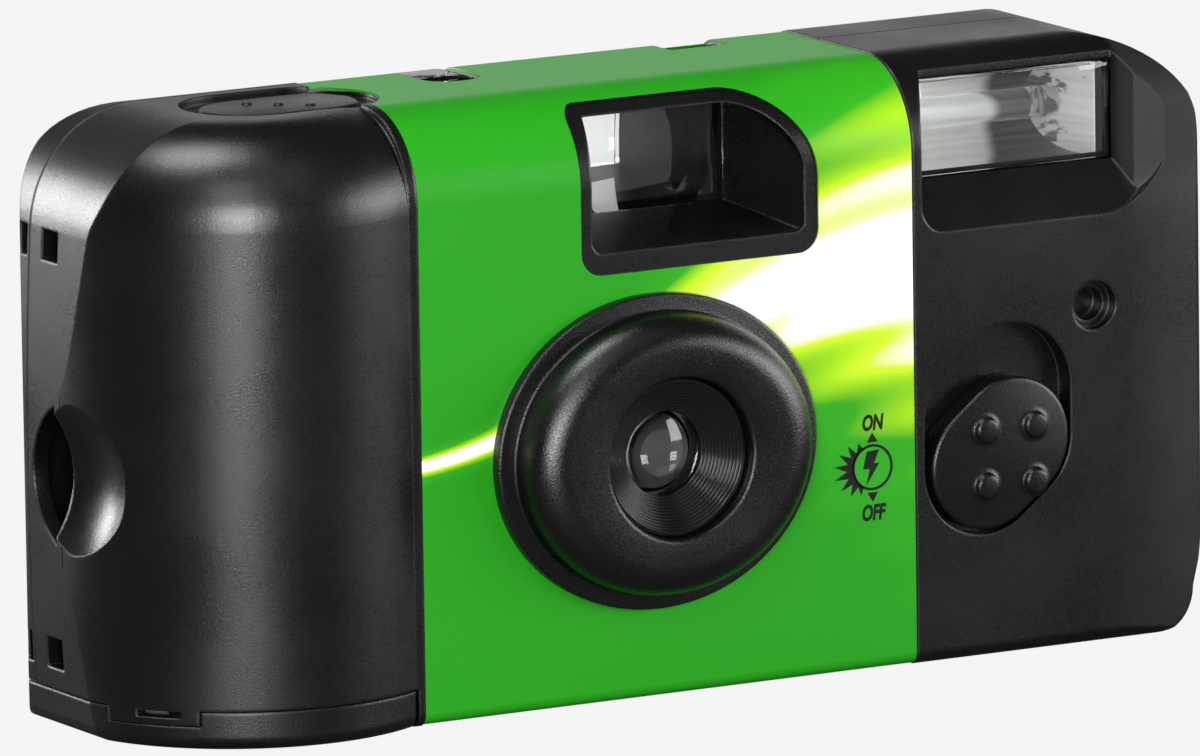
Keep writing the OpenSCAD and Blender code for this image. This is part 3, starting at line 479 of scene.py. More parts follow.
@dataclass(frozen=True)
class Clear(Finish):
    """Clear or tinted moulded plastic; its top can be domed about one X and Y, by so much per square millimetre."""

    name: str
    colour: Colour = (0.97, 0.98, 0.98)
    roughness: float = 0.02
    ior: float = 1.49
    waves: float = 0.05
    dome: Point3 | None = None

    def paint(self, make: ShaderBuilder, groups: ShaderGroups) -> None:
        """Joins slow waves and the dome to the height.

        Args:
            make: The material under way.
            groups: The shared shader groups, which this finish leaves aside.
        """
        make.set(Base_Color=self.colour, Roughness=self.roughness, IOR=self.ior, Transmission_Weight=1.0)
        height = make.math("MULTIPLY", make.noise(160.0), 0.4 * self.waves)
        if self.dome is not None:
            off_x, off_y = (make.math("POWER", make.math("SUBTRACT", spot, middle), 2.0)
                            for spot, middle in zip(make.place(), self.dome[:2]))
            height = make.math("MULTIPLY_ADD", make.math("ADD", off_x, off_y), -self.dome[2], height)
        make.bump(height, 1.0, MM)


@dataclass(frozen=True)
class Foil(Finish):
    """Bright foil with drawn streaks along X; a dark reflection is painted on it in one soft band, or painted
    reflections break it into blots.
    """

    name: str
    bright: Colour = (0.99, 0.99, 0.96)
    # Colour of the painted dark reflection.
    dark: Colour = (0.05, 0.047, 0.055)
    # Whether the painted reflection is broken into blots instead of one band.
    blots: bool = False
    lines: Point3 = (40.0, 40.0, 2600.0)
    wobble: Point3 = (30.0, 30.0, 420.0)
    band: Point2 = (38.3, 39.9)
    slant: float = -0.56
    sway: float = 3.2
    blot: Point3 = (420.0, 420.0, 950.0)
    blot_band: Point2 = (0.52, 0.42)
    blot_fade: Point2 = (-0.045, -0.03)

    def paint(self, make: ShaderBuilder, groups: ShaderGroups) -> None:
        """Joins the streaks and the painted dark reflections.

        Args:
            make: The material under way.
            groups: The shared shader groups, which this finish leaves aside.
        """
        x, y, _ = make.place()
        lines = make.noise(1.0, 3.0, stretch=self.lines)
        if self.blots:
            low, high = self.blot_band
            blot = make.noise(1.0, 3.0, stretch=self.blot)
            value = make.math("ADD", blot, make.math("MULTIPLY_ADD", y, *self.blot_fade))
        else:
            low, high = self.band
            wobble = make.noise(1.0, 3.0, stretch=self.wobble)
            value = make.math("MULTIPLY_ADD", wobble, self.sway, make.math("MULTIPLY_ADD", y, self.slant, x))
        # Painted reflection: this mask darkens the foil where a dark reflection is painted in, in a slanted band or in
        # blots.
        dark_reflection_mask = make.add("MapRange", {"interpolation_type": "SMOOTHSTEP"}, Value=value, From_Min=low, From_Max=high)
        sheen = make.ramp(lines, [(0.3, toned(self.bright, 0.86)), (0.6, self.bright)])
        # The painted dark reflection colour, streaked like the foil.
        deep = make.ramp(lines, [(0.35, toned(self.dark, 0.6)), (0.65, toned(self.dark, 2.2))])
        make.set(Metallic=0.5, Roughness=0.45, Base_Color=make.blend(dark_reflection_mask.outputs["Result"], sheen, deep))
        make.bump(lines, 0.1, 0.00002)


@dataclass(frozen=True)
class PrintedWrap(Finish):
    """Glossy printed card: a green ground with one soft ribbon that widens and pales towards one side."""

    name: str = "printed_wrap"
    deep: Colour = (0.013, 0.26, 0.006)
    ground: Colour = (0.024, 0.31, 0.008)
    fresh: Colour = (0.30, 0.60, 0.006)
    lime: Colour = (0.52, 0.76, 0.02)
    white: Colour = (0.90, 0.91, 0.88)
    start_x: float = -27.0
    base_z: float = 30.5
    rise: float = 0.16
    wave: Point2 = (0.085, 0.5)
    wave_height: float = 3.2
    thin: float = 0.7
    widen: float = 0.0048
    streak: Point2 = (1.15, -0.2)
    streak_share: float = 0.16
    front_y: Point2 = (-6.0, 0.0)

    def paint(self, make: ShaderBuilder, groups: ShaderGroups) -> None:
        """Joins the ribbon's distance to the colours, and fades it out behind the front.

        Args:
            make: The material under way.
            groups: The shared shader groups.
        """
        x, y, z = make.place()
        bend = make.math("SINE", make.math("MULTIPLY_ADD", x, *self.wave))
        middle = make.math("MULTIPLY_ADD", bend, self.wave_height,
                           make.math("MULTIPLY_ADD", x, self.rise, self.base_z))
        reach = make.math("POWER", make.math("SUBTRACT", x, self.start_x), 2.0)
        half = make.math("MULTIPLY_ADD", reach, self.widen, self.thin)
        offset = make.math("SUBTRACT", z, middle)
        streak = make.math("SINE", make.math("MULTIPLY_ADD", offset, self.streak[0],
                                             make.math("MULTIPLY", x, self.streak[1])))
        away = make.math("DIVIDE", make.math("ABSOLUTE", offset), half)
        ribbon = make.math("MULTIPLY_ADD", streak, self.streak_share, away)
        front = make.add("MapRange", Value=y, From_Min=self.front_y[0], From_Max=self.front_y[1], To_Max=3.0)
        place = make.math("MULTIPLY", make.math("ADD", ribbon, front.outputs["Result"]), 0.4)
        stops = [(0.16, self.white), (0.27, self.lime), (0.36, self.fresh), (0.55, self.ground), (1.0, self.deep)]
        grain = make.group(groups.grain, Grain_Scale=900.0, Mottle_Scale=60.0)
        make.set(Specular_IOR_Level=0.45, Base_Color=make.ramp(place, stops),
                 Roughness=make.math("MULTIPLY_ADD", grain.outputs["Tone"], 0.12, 0.27))
        make.bump(grain.outputs["Height"], 0.12, 0.00005)


@dataclass(frozen=True)
class Ink(Finish):
    """Flat printing ink."""

    name: str
    colour: Colour

    def paint(self, make: ShaderBuilder, groups: ShaderGroups) -> None:
        """Joins a faint mottle to colour and roughness.

        Args:
            make: The material under way.
            groups: The shared shader groups.
        """
        tone = make.group(groups.grain, Grain_Scale=2500.0, Mottle_Scale=200.0).outputs["Tone"]
        light: Colour = tuple(c * 1.3 + 0.002 for c in self.colour)
        make.set(Specular_IOR_Level=0.2, Base_Color=make.ramp(tone, [(0.35, self.colour), (0.65, light)]),
                 Roughness=make.math("MULTIPLY_ADD", tone, 0.2, 0.5))


class Finishes:
    """Every material of the camera, made once."""

    def __init__(self) -> None:
        """Makes the groups and the materials."""
        groups = ShaderGroups()
        # Each moulding's second colour is the painted highlight along its edges.
        self.cover = Moulding("cover_moulding", (0.0022, 0.0021, 0.0024), (0.025, 0.024, 0.025), 0.3, grain=6500.0,
                              depth=0.00004, strength=0.45, speckle=0.5, matte=(45.8, 38.0)).build(groups)
        self.bezel = Moulding("bezel_moulding", (0.0022, 0.0021, 0.0023), (0.012, 0.012, 0.012), 0.25, grain=6500.0,
                              depth=0.00006, strength=0.55, speckle=0.8).build(groups)
        self.inner = Moulding("inner_moulding", (0.0035, 0.0034, 0.0036), (0.012, 0.012, 0.012), 0.4).build(groups)
        self.gloss = Moulding("gloss_moulding", (0.003, 0.003, 0.0032), (0.02, 0.02, 0.02), 0.16,
                              depth=0.000005, edge=0.0001).build(groups)
        self.white = Moulding("white_moulding", (0.72, 0.72, 0.69), (0.8, 0.8, 0.78), 0.45).build(groups)
        self.sleeve = Moulding("capacitor_sleeve", (0.02, 0.02, 0.03), (0.05, 0.05, 0.06), 0.3).build(groups)
        self.board = Moulding("bare_board", (0.26, 0.16, 0.06), (0.36, 0.26, 0.14), 0.55).build(groups)
        self.film = Moulding("film_base", (0.06, 0.04, 0.05), (0.1, 0.08, 0.09), 0.25).build(groups)
        self.felt = Moulding("felt", (0.012, 0.012, 0.012), (0.02, 0.02, 0.02), 0.95, grain=2500.0,
                             depth=0.0002, strength=0.8).build(groups)
        self.tin = Moulding("cartridge_paint", (0.5, 0.47, 0.36), (0.65, 0.63, 0.55), 0.35).build(groups)
        self.jacket = Moulding("cell_jacket", (0.42, 0.28, 0.08), (0.6, 0.5, 0.3), 0.3).build(groups)
        self.steel = Metal("spring_steel", (0.6, 0.6, 0.58)).build(groups)
        self.blade = Metal("blackened_sheet", (0.06, 0.06, 0.065), 0.45).build(groups)
        self.brass = Metal("spring_brass", (0.72, 0.52, 0.2)).build(groups)
        self.copper = Metal("winding", (0.6, 0.33, 0.13), 0.35, (60.0, 60.0, 5000.0)).build(groups)
        # Painted reflections on the foils: a dark band on the trough and dark blots on its ends.
        self.foil = Foil("bright_foil").build(groups)
        self.foil_end = Foil("bright_foil_end", (0.98, 0.98, 0.97), (0.14, 0.137, 0.145), blots=True).build(groups)
        self.lens = Clear("clear_lens").build(groups)
        self.panel = Clear("clear_panel", waves=0.08).build(groups)
        self.pane = Clear("smoky_pane", (0.2, 0.2, 0.21), 0.05, dome=(-13.6, 10.4, 0.07)).build(groups)
        self.amber = Clear("amber_clear", (0.9, 0.45, 0.22), 0.08).build(groups)
        self.wrap = PrintedWrap().build(groups)
        self.ink = Ink("black_ink", (0.004, 0.004, 0.004)).build(groups)
        self.pale = Ink("pale_ink", (0.55, 0.55, 0.52)).build(groups)


# Mesh work


class Piece:
    """A mesh under way, in millimetres in the part's frame until it is finished."""

    def __init__(self, name: str) -> None:
        """Starts an empty mesh.

        Args:
            name: Name of the piece.
        """
        self.name = name
        self.bm = bmesh.new()

    def chain(self, points: Iterable[Sequence[float]], closed: bool = False) -> list[bmesh.types.BMVert]:
        """Adds a line of edges.

        Args:
            points: The corners.
            closed: Whether the last corner joins the first.

        Returns:
            The new vertices.
        """
        verts = [self.bm.verts.new(p) for p in points]
        pairs = list(zip(verts, verts[1:])) + ([(verts[-1], verts[0])] if closed else [])
        for a, b in pairs:
            self.bm.edges.new((a, b))
        return verts

    def spin(self, profile: Iterable[Point2], centre: Point2, steps: int, start: float = 0.0,
             axis: str = "Y", closed: bool = False) -> list[bmesh.types.BMVert]:
        """Turns a profile once round an axis along Y or Z.

        Args:
            profile: Radius and place along the axis of each corner.
            centre: Where the axis stands, as X and Z, or X and Y for an axis along Z.
            steps: Number of steps in the turn.
            start: Angle of the first step, in radians.
            axis: Y or Z.
            closed: Whether the profile closes on itself.

        Returns:
            The new vertices.
        """
        before = set(self.bm.verts)
        if axis == "Y":
            points = [(centre[0] + r, h, centre[1]) for r, h in profile]
            pole, line = Vector((centre[0], 0.0, centre[1])), (0.0, 1.0, 0.0)
        else:
            points = [(centre[0] + r, centre[1], h) for r, h in profile]
            pole, line = Vector((centre[0], centre[1], 0.0)), (0.0, 0.0, 1.0)
        verts = self.chain(points, closed)
        edges = {e for v in verts for e in v.link_edges}
        if start:
            bmesh.ops.rotate(self.bm, cent=pole, matrix=Matrix.Rotation(start, 3, axis), verts=verts)
        bmesh.ops.spin(self.bm, geom=verts + list(edges), cent=pole, axis=line, angle=2.0 * math.pi, steps=steps,
                       use_merge=True, use_duplicate=False)
        made = [v for v in self.bm.verts if v not in before]
        bmesh.ops.remove_doubles(self.bm, verts=made, dist=0.0005)
        return [v for v in self.bm.verts if v not in before]

    def thicken(self, faces: Sequence[bmesh.types.BMFace], push: Vector) -> bmesh.types.BMFace:
        """Extrudes flat faces into a slab.

        Args:
            faces: The faces, which stay as its base.
            push: How far they are extruded.

        Returns:
            The first moved face.
        """
        grown = bmesh.ops.extrude_face_region(self.bm, geom=list(faces), use_keep_orig=True)["geom"]
        bmesh.ops.translate(self.bm, vec=push, verts=[g for g in grown if isinstance(g, bmesh.types.BMVert)])
        return next(g for g in grown if isinstance(g, bmesh.types.BMFace))

    def slab(self, outline: Sequence[Sequence[float]], push: Vector) -> bmesh.types.BMFace:
        """Fills an outline and extrudes it.

        Args:
            outline: Corners of the outline.
            push: How far it is extruded.

        Returns:
            The moved cap.
        """
        return self.thicken([self.bm.faces.new([self.bm.verts.new(p) for p in outline])], push)

    def bevel_ring(self, face: bmesh.types.BMFace, width: float, segments: int = 4) -> None:
        """Rounds the edges round one face.

        Args:
            face: The face.
            width: Width of the round.
            segments: Number of steps in it.
        """
        bmesh.ops.bevel(self.bm, geom=list(face.edges), offset=width, offset_type="OFFSET", affect="EDGES",
                        segments=segments, profile=0.5, material=-1, clamp_overlap=True)

    def finish(self, body: Body, slot: Slot, material: bpy.types.Material, replaces: Sequence[str] = (),
               crease: float = 32.0) -> bpy.types.Object:
        """Makes the object, and ties it to the part.

        Args:
            body: Body that it rides on.
            slot: Material slot of the record; not used.
            material: Its material.
            replaces: CAD nodes that it stands for.
            crease: Angle in degrees above which an edge stays sharp.

        Returns:
            The finished object.
        """
        bmesh.ops.recalc_face_normals(self.bm, faces=list(self.bm.faces))
        bmesh.ops.scale(self.bm, vec=(MM, MM, MM), verts=list(self.bm.verts))
        mesh = bpy.data.meshes.new(self.name)
        self.bm.to_mesh(mesh)
        self.bm.free()
        mesh.polygons.foreach_set("use_smooth", [True] * len(mesh.polygons))
        mesh.set_sharp_from_angle(angle=math.radians(crease))
        mesh.materials.append(material)
        piece = bpy.data.objects.new(self.name, mesh)
        bpy.context.scene.collection.objects.link(piece)
        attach(piece, body.value)
        if replaces:
            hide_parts(*replaces)
        LOG.info("%s: %d faces", self.name, len(mesh.polygons))
        return piece


def arc(centre: Point2, radius: float, first: float, last: float, steps: int) -> list[Point2]:
    """Corners along an arc.

    Args:
        centre: Centre of the arc.
        radius: Its radius.
        first: First angle in degrees.
        last: Last angle in degrees.
        steps: Number of steps.

    Returns:
        The corners, both ends among them.
    """
    angles = (math.radians(first + (last - first) * k / steps) for k in range(steps + 1))
    return [(centre[0] + radius * math.cos(a), centre[1] + radius * math.sin(a)) for a in angles]


def stadium(centre: Point2, length: float, width: float, turn: float, steps: int = 20) -> list[Point2]:
    """Corners of an oval with straight sides.

    Args:
        centre: Its centre.
        length: Its length.
        width: Its width.
        turn: Angle of its length in degrees.
        steps: Steps in each round end.

    Returns:
        The corners in order.
    """
    half = (length - width) / 2.0
    points = arc((half, 0.0), width / 2.0, -90.0, 90.0, steps) + arc((-half, 0.0), width / 2.0, 90.0, 270.0, steps)
    c, s = math.cos(math.radians(turn)), math.sin(math.radians(turn))
    return [(centre[0] + c * u - s * v, centre[1] + s * u + c * v) for u, v in points]


# Sub-assemblies


@dataclass
class LensUnit:
    """Oval domed surround, stepped holder and taking lens."""

    x: float = -3.4
    z: float = 22.2
    front: float = -16.35
    seat: float = -11.05
    root: float = -9.85
    rim_r: float = 14.0
    rim_w: float = 1.5
    rim_t: float = 1.1
    rim_inner_round: float = 0.15
    rim_outer_round: float = 0.2
    dome_r: float = 2.9
    throat_r: float = 7.16
    throat_round: float = 0.35
    spigot_w: float = 1.7
    stretch: float = 2.05
    rings: int = 11
    ring_chamfer: float = 0.1
    mouth_y: float = -15.25
    mouth_r: float = 6.5
    mouth_chamfer: float = 0.2
    lip_r: float = 3.75
    lip_y: float = -13.05
    back_y: float = -8.65
    holder_slack: float = 0.06
    pin_y: float = -7.05
    pin_r: float = 0.7
    pin_ring: float = 6.2
    pin_angles: Point3 = (100.0, 180.0, 250.0)
    glass_r: float = 4.25
    glass_y: float = -12.95
    glass_back: float = -9.95
    glass_dome: float = 9.0
    glass_slack: float = 0.1
    hollow_r: float = 6.4
    hollow_half: float = 3.4
    hollow_rise: float = 6.3
    steps: int = 128

    def surround(self) -> Piece:
        """Spins the surround's section, then pulls the ring into an oval.

        Returns:
            The piece under way.
        """
        piece = Piece("lens_surround")
        wall = self.rim_r - self.rim_w
        shoulder = wall - self.dome_r
        rim_y = self.seat - self.rim_t
        soft, inner, outer = self.throat_round, self.rim_inner_round, self.rim_outer_round
        spigot = self.throat_r + self.spigot_w
        section = [(self.throat_r, self.root), (self.throat_r, self.front + soft)]
        section += arc((self.throat_r + soft, self.front + soft), soft, 180.0, 270.0, 5)[1:]
        section += [(shoulder, self.front)]
        section += arc((shoulder, self.front + self.dome_r), self.dome_r, -90.0, 0.0, 18)[1:]
        section += [(wall, rim_y - inner)]
        section += arc((wall + inner, rim_y - inner), inner, 180.0, 90.0, 3)[1:]
        section += [(self.rim_r - outer, rim_y)]
        section += arc((self.rim_r - outer, rim_y + outer), outer, -90.0, 0.0, 4)[1:]
        section += [(self.rim_r, self.seat), (spigot, self.seat), (spigot, self.root)]
        ring = piece.spin(section, (self.x, self.z), self.steps, math.pi / self.steps, closed=True)
        for vert in ring:
            radius = math.hypot(vert.co.x - self.x, vert.co.z - self.z)
            if radius > shoulder - 0.01:
                vert.co.x += (vert.co.x - self.x) * self.stretch / self.rim_r
        return piece

    def holder(self) -> Piece:
        """Spins the stepped cone that frames the lens, and its three pins.

        Returns:
            The piece under way.
        """
        piece = Piece("lens_holder")
        outer, cut, edge = self.throat_r - self.holder_slack, self.mouth_chamfer, self.ring_chamfer
        section: list[Point2] = [(outer, self.back_y), (outer, self.mouth_y + cut), (outer - cut, self.mouth_y)]
        drop = (self.lip_y - self.mouth_y) / self.rings
        narrow = (self.mouth_r - self.lip_r) / self.rings
        for k in range(self.rings):
            radius, place = self.mouth_r - k * narrow, self.mouth_y + k * drop
            section += [(radius + edge, place), (radius, place + edge), (radius, place + drop)]
        seat, bore = self.glass_y + 0.5, self.glass_r + self.glass_slack
        section += [(self.lip_r + edge, self.lip_y), (self.lip_r, self.lip_y + edge), (self.lip_r, seat),
                    (bore, seat), (bore, self.back_y)]
        piece.spin(section, (self.x, self.z), self.steps, closed=True)
        foot = self.back_y - 0.2
        for angle in map(math.radians, self.pin_angles):
            spot = (self.x + self.pin_ring * math.cos(angle), self.z + self.pin_ring * math.sin(angle))
            piece.spin([(0.0, foot), (self.pin_r, foot), (self.pin_r, self.pin_y), (0.0, self.pin_y)], spot, 16)
        return piece

    def glass(self) -> Piece:
        """Spins the taking lens, domed in front and hollow behind.

        Returns:
            The piece under way.
        """
        piece = Piece("taking_glass")
        bow = math.degrees(math.asin(self.glass_r / self.glass_dome))
        dip = math.degrees(math.asin(self.hollow_half / self.hollow_r))
        front = arc((0.0, self.glass_y + self.glass_dome), self.glass_dome, -90.0, -90.0 + bow, 14)
        back = arc((0.0, self.glass_back - self.hollow_rise), self.hollow_r, 90.0 - dip, 90.0, 10)
        section = front + [(self.glass_r, self.glass_back), (self.hollow_half, self.glass_back)] + back[1:]
        section[0], section[-1] = (0.0, section[0][1]), (0.0, section[-1][1])
        piece.spin(section, (self.x, self.z), 96)
        return piece

    def build(self, finishes: Finishes) -> None:
        """Makes the three pieces.

        Args:
            finishes: The materials.
        """
        self.surround().finish(Body.CASE, Slot.BEZEL, finishes.bezel, ["lens_bezel"], 40.0)
        self.holder().finish(Body.CASE, Slot.INNER, finishes.gloss, ["lens_retainer"], 30.0)
        self.glass().finish(Body.CASE, Slot.LENS, finishes.lens, ["taking_lens"], 30.0)


@dataclass
class FlashUnit:
    """Clear panel and the bright trough behind it."""

    x0: float = 26.0
    x1: float = 45.7
    z0: float = 43.0
    z1: float = 51.8
    front: float = -7.65
    back: float = -6.15
    rim_round: float = 0.3
    step_w: float = 0.7
    step_d: float = 0.5
    trough_back: float = 1.35
    trough_z: Point2 = (43.15, 51.7)
    trough_gap: float = 0.05
    trough_power: float = 0.8
    facets: int = 20
    rows: int = 16
    foil_t: float = 0.12
    inset: float = 1.0
    flare: float = 0.36

    def panel(self) -> Piece:
        """Builds the panel with a rounded front rim and a lens step on its inner face.

        Returns:
            The piece under way.
        """
        piece = Piece("flash_panel")
        corners = [(self.x0, self.z0), (self.x1, self.z0), (self.x1, self.z1), (self.x0, self.z1)]
        cap = piece.slab([(x, self.back, z) for x, z in corners], Vector((0.0, self.front - self.back, 0.0)))
        piece.bevel_ring(cap, self.rim_round)
        inner = max(piece.bm.faces, key=lambda f: f.calc_center_median().y)
        bmesh.ops.inset_region(piece.bm, faces=[inner], thickness=self.step_w, depth=0.0)
        bmesh.ops.translate(piece.bm, vec=Vector((0.0, -self.step_d, 0.0)), verts=list(inner.verts))
        return piece

    def wall(self) -> list[Point2]:
        """Draws the trough's section.

        Returns:
            Y and Z of each corner.
        """
        low, high = self.trough_z
        mid, half = (low + high) / 2.0, (high - low) / 2.0
        start = self.back + self.trough_gap
        depth = self.trough_back - start
        angles = [math.radians(-90.0 + 180.0 * k / self.facets) for k in range(self.facets + 1)]
        return [(start + depth * max(0.0, math.cos(a)) ** self.trough_power, mid + half * math.sin(a)) for a in angles]

    def end(self, y: float, side: float) -> float:
        """Gives X of one slanted end of the trough.

        Args:
            y: How deep.
            side: -1 for the low end, 1 for the high end.

        Returns:
            X there.
        """
        edge = self.x1 - self.inset if side > 0 else self.x0 + self.inset
        return edge - side * self.flare * (y - self.back)

    def trough(self) -> Piece:
        """Builds the curved back of the trough between its slanted ends.

        Returns:
            The piece under way.
        """
        piece = Piece("flash_trough")
        verts = piece.chain([(self.end(y, -1.0), y, z) for y, z in self.wall()])
        edges = list({e for v in verts for e in v.link_edges})
        for _ in range(self.rows):
            grown = bmesh.ops.extrude_edge_only(piece.bm, edges=edges)["geom"]
            moved = {g for g in grown if isinstance(g, bmesh.types.BMVert)}
            edges = [g for g in grown if isinstance(g, bmesh.types.BMEdge) and set(g.verts) <= moved]
            for vert in moved:
                vert.co.x += (self.end(vert.co.y, 1.0) - self.end(vert.co.y, -1.0)) / self.rows
        bmesh.ops.solidify(piece.bm, geom=list(piece.bm.faces), thickness=self.foil_t)
        return piece

    def ends(self) -> Piece:
        """Builds the trough's two slanted end walls.

        Returns:
            The piece under way.
        """
        piece = Piece("flash_trough_ends")
        for side in (-1.0, 1.0):
            outline = [(self.end(y, side) + side * 0.02, y, z) for y, z in self.wall()]
            piece.slab(outline, Vector((side * self.foil_t, 0.0, 0.0)))
        return piece

    def build(self, finishes: Finishes) -> None:
        """Makes the panel, the trough and its ends.

        Args:
            finishes: The materials.
        """
        self.panel().finish(Body.CASE, Slot.PANEL, finishes.panel, ["flash_lens"], 25.0)
        self.trough().finish(Body.CASE, Slot.FOIL, finishes.foil, ["flash_reflector"], 60.0)
        self.ends().finish(Body.CASE, Slot.FOIL, finishes.foil_end, crease=60.0)


@dataclass
class Controls:
    """Sliding flash knob and shutter button."""

    knob_x: float = 31.75
    knob_z: float = 18.3
    knob_l: float = 14.8
    knob_w: float = 11.4
    knob_turn: float = 38.0
    knob_front: float = -11.65
    knob_back: float = -9.4
    knob_round: float = 0.35
    peg_front: float = -12.25
    peg_r: float = 1.2
    peg_step: float = 5.02
    peg_shift: Point2 = (0.95, -0.3)
    peg_foot: float = 0.25
    peg_crown: float = 0.3
    stem_w: float = 2.4
    stem_back: float = -8.3
    button_x: float = -32.5
    button_y: float = 2.85
    button_l: float = 15.0
    button_w: float = 9.0
    button_top: float = 53.7
    button_base: float = 51.75
    button_round: float = 0.5
    flange_w: float = 1.4
    flange_t: float = 0.6
    dot_step: Point2 = (2.2, -1.75)
    dot_rise: float = 0.15
    rod_r: float = 0.7
    rod_end: float = 50.35
    rod_shift: float = -1.5
    sink: float = 0.05

    def knob(self) -> Piece:
        """Builds the knob with its four pegs and stem.

        Returns:
            The piece under way.
        """
        piece = Piece("flash_knob")
        outline = stadium((self.knob_x, self.knob_z), self.knob_l, self.knob_w, self.knob_turn)
        base = [(x, self.knob_back, z) for x, z in outline]
        cap = piece.slab(base, Vector((0.0, self.knob_front - self.knob_back, 0.0)))
        piece.bevel_ring(cap, self.knob_round)
        foot, crown = self.peg_foot, self.peg_crown
        section = [(self.peg_r + foot + self.sink, self.knob_front + self.sink)]
        section += arc((self.peg_r + foot, self.knob_front - foot), foot, 90.0, 180.0, 4)
        section += arc((self.peg_r - crown - self.sink, self.peg_front + crown), crown, 0.0, -90.0, 4)
        section += [(0.0, self.peg_front)]
        for sx in (-0.5, 0.5):
            for sz in (-0.5, 0.5):
                spot = (self.knob_x + self.peg_shift[0] + sx * self.peg_step,
                        self.knob_z + self.peg_shift[1] + sz * self.peg_step)
                piece.spin(section, spot, 28)
        half, root = self.stem_w / 2.0, self.knob_back - 0.1
        stem = [(self.knob_x + u * half, root, self.knob_z + v * half)
                for u, v in ((-1, -1), (1, -1), (1, 1), (-1, 1))]
        piece.slab(stem, Vector((0.0, self.stem_back - root, 0.0)))
        return piece

    def button(self) -> Piece:
        """Builds the button with a rounded top, three dots, flange and rod.

        Returns:
            The piece under way.
        """
        piece = Piece("shutter_key")
        spot = (self.button_x, self.button_y)
        base = [(x, y, self.button_base) for x, y in stadium(spot, self.button_l, self.button_w, 0.0)]
        cap = piece.slab(base, Vector((0.0, 0.0, self.button_top - self.button_base)))
        piece.bevel_ring(cap, self.button_round)
        rim = stadium(spot, self.button_l + self.flange_w, self.button_w + self.flange_w, 0.0)
        piece.slab([(x, y, self.button_base) for x, y in rim], Vector((0.0, 0.0, self.flange_t)))
        dot = [(0.5, self.button_top - self.sink)] + arc((0.32, self.button_top), self.dot_rise, 0.0, 90.0, 3)
        dot += [(0.0, self.button_top + self.dot_rise)]
        for k in (-1, 0, 1):
            place = (self.button_x + self.dot_step[0] * k, self.button_y + self.dot_step[1] * k)
            piece.spin(dot, place, 16, axis="Z")
        top = self.button_base + self.sink
        piece.spin([(0.0, self.rod_end), (self.rod_r, self.rod_end), (self.rod_r, top), (0.0, top)],
                   (self.button_x, self.button_y + self.rod_shift), 20, axis="Z")
        return piece

    def build(self, finishes: Finishes) -> None:
        """Makes the knob and the button.

        Args:
            finishes: The materials.
        """
        self.knob().finish(Body.SWITCH, Slot.COVER, finishes.cover, ["flash_switch"], 30.0)
        self.button().finish(Body.BUTTON, Slot.COVER, finishes.cover, ["shutter_button"], 30.0)


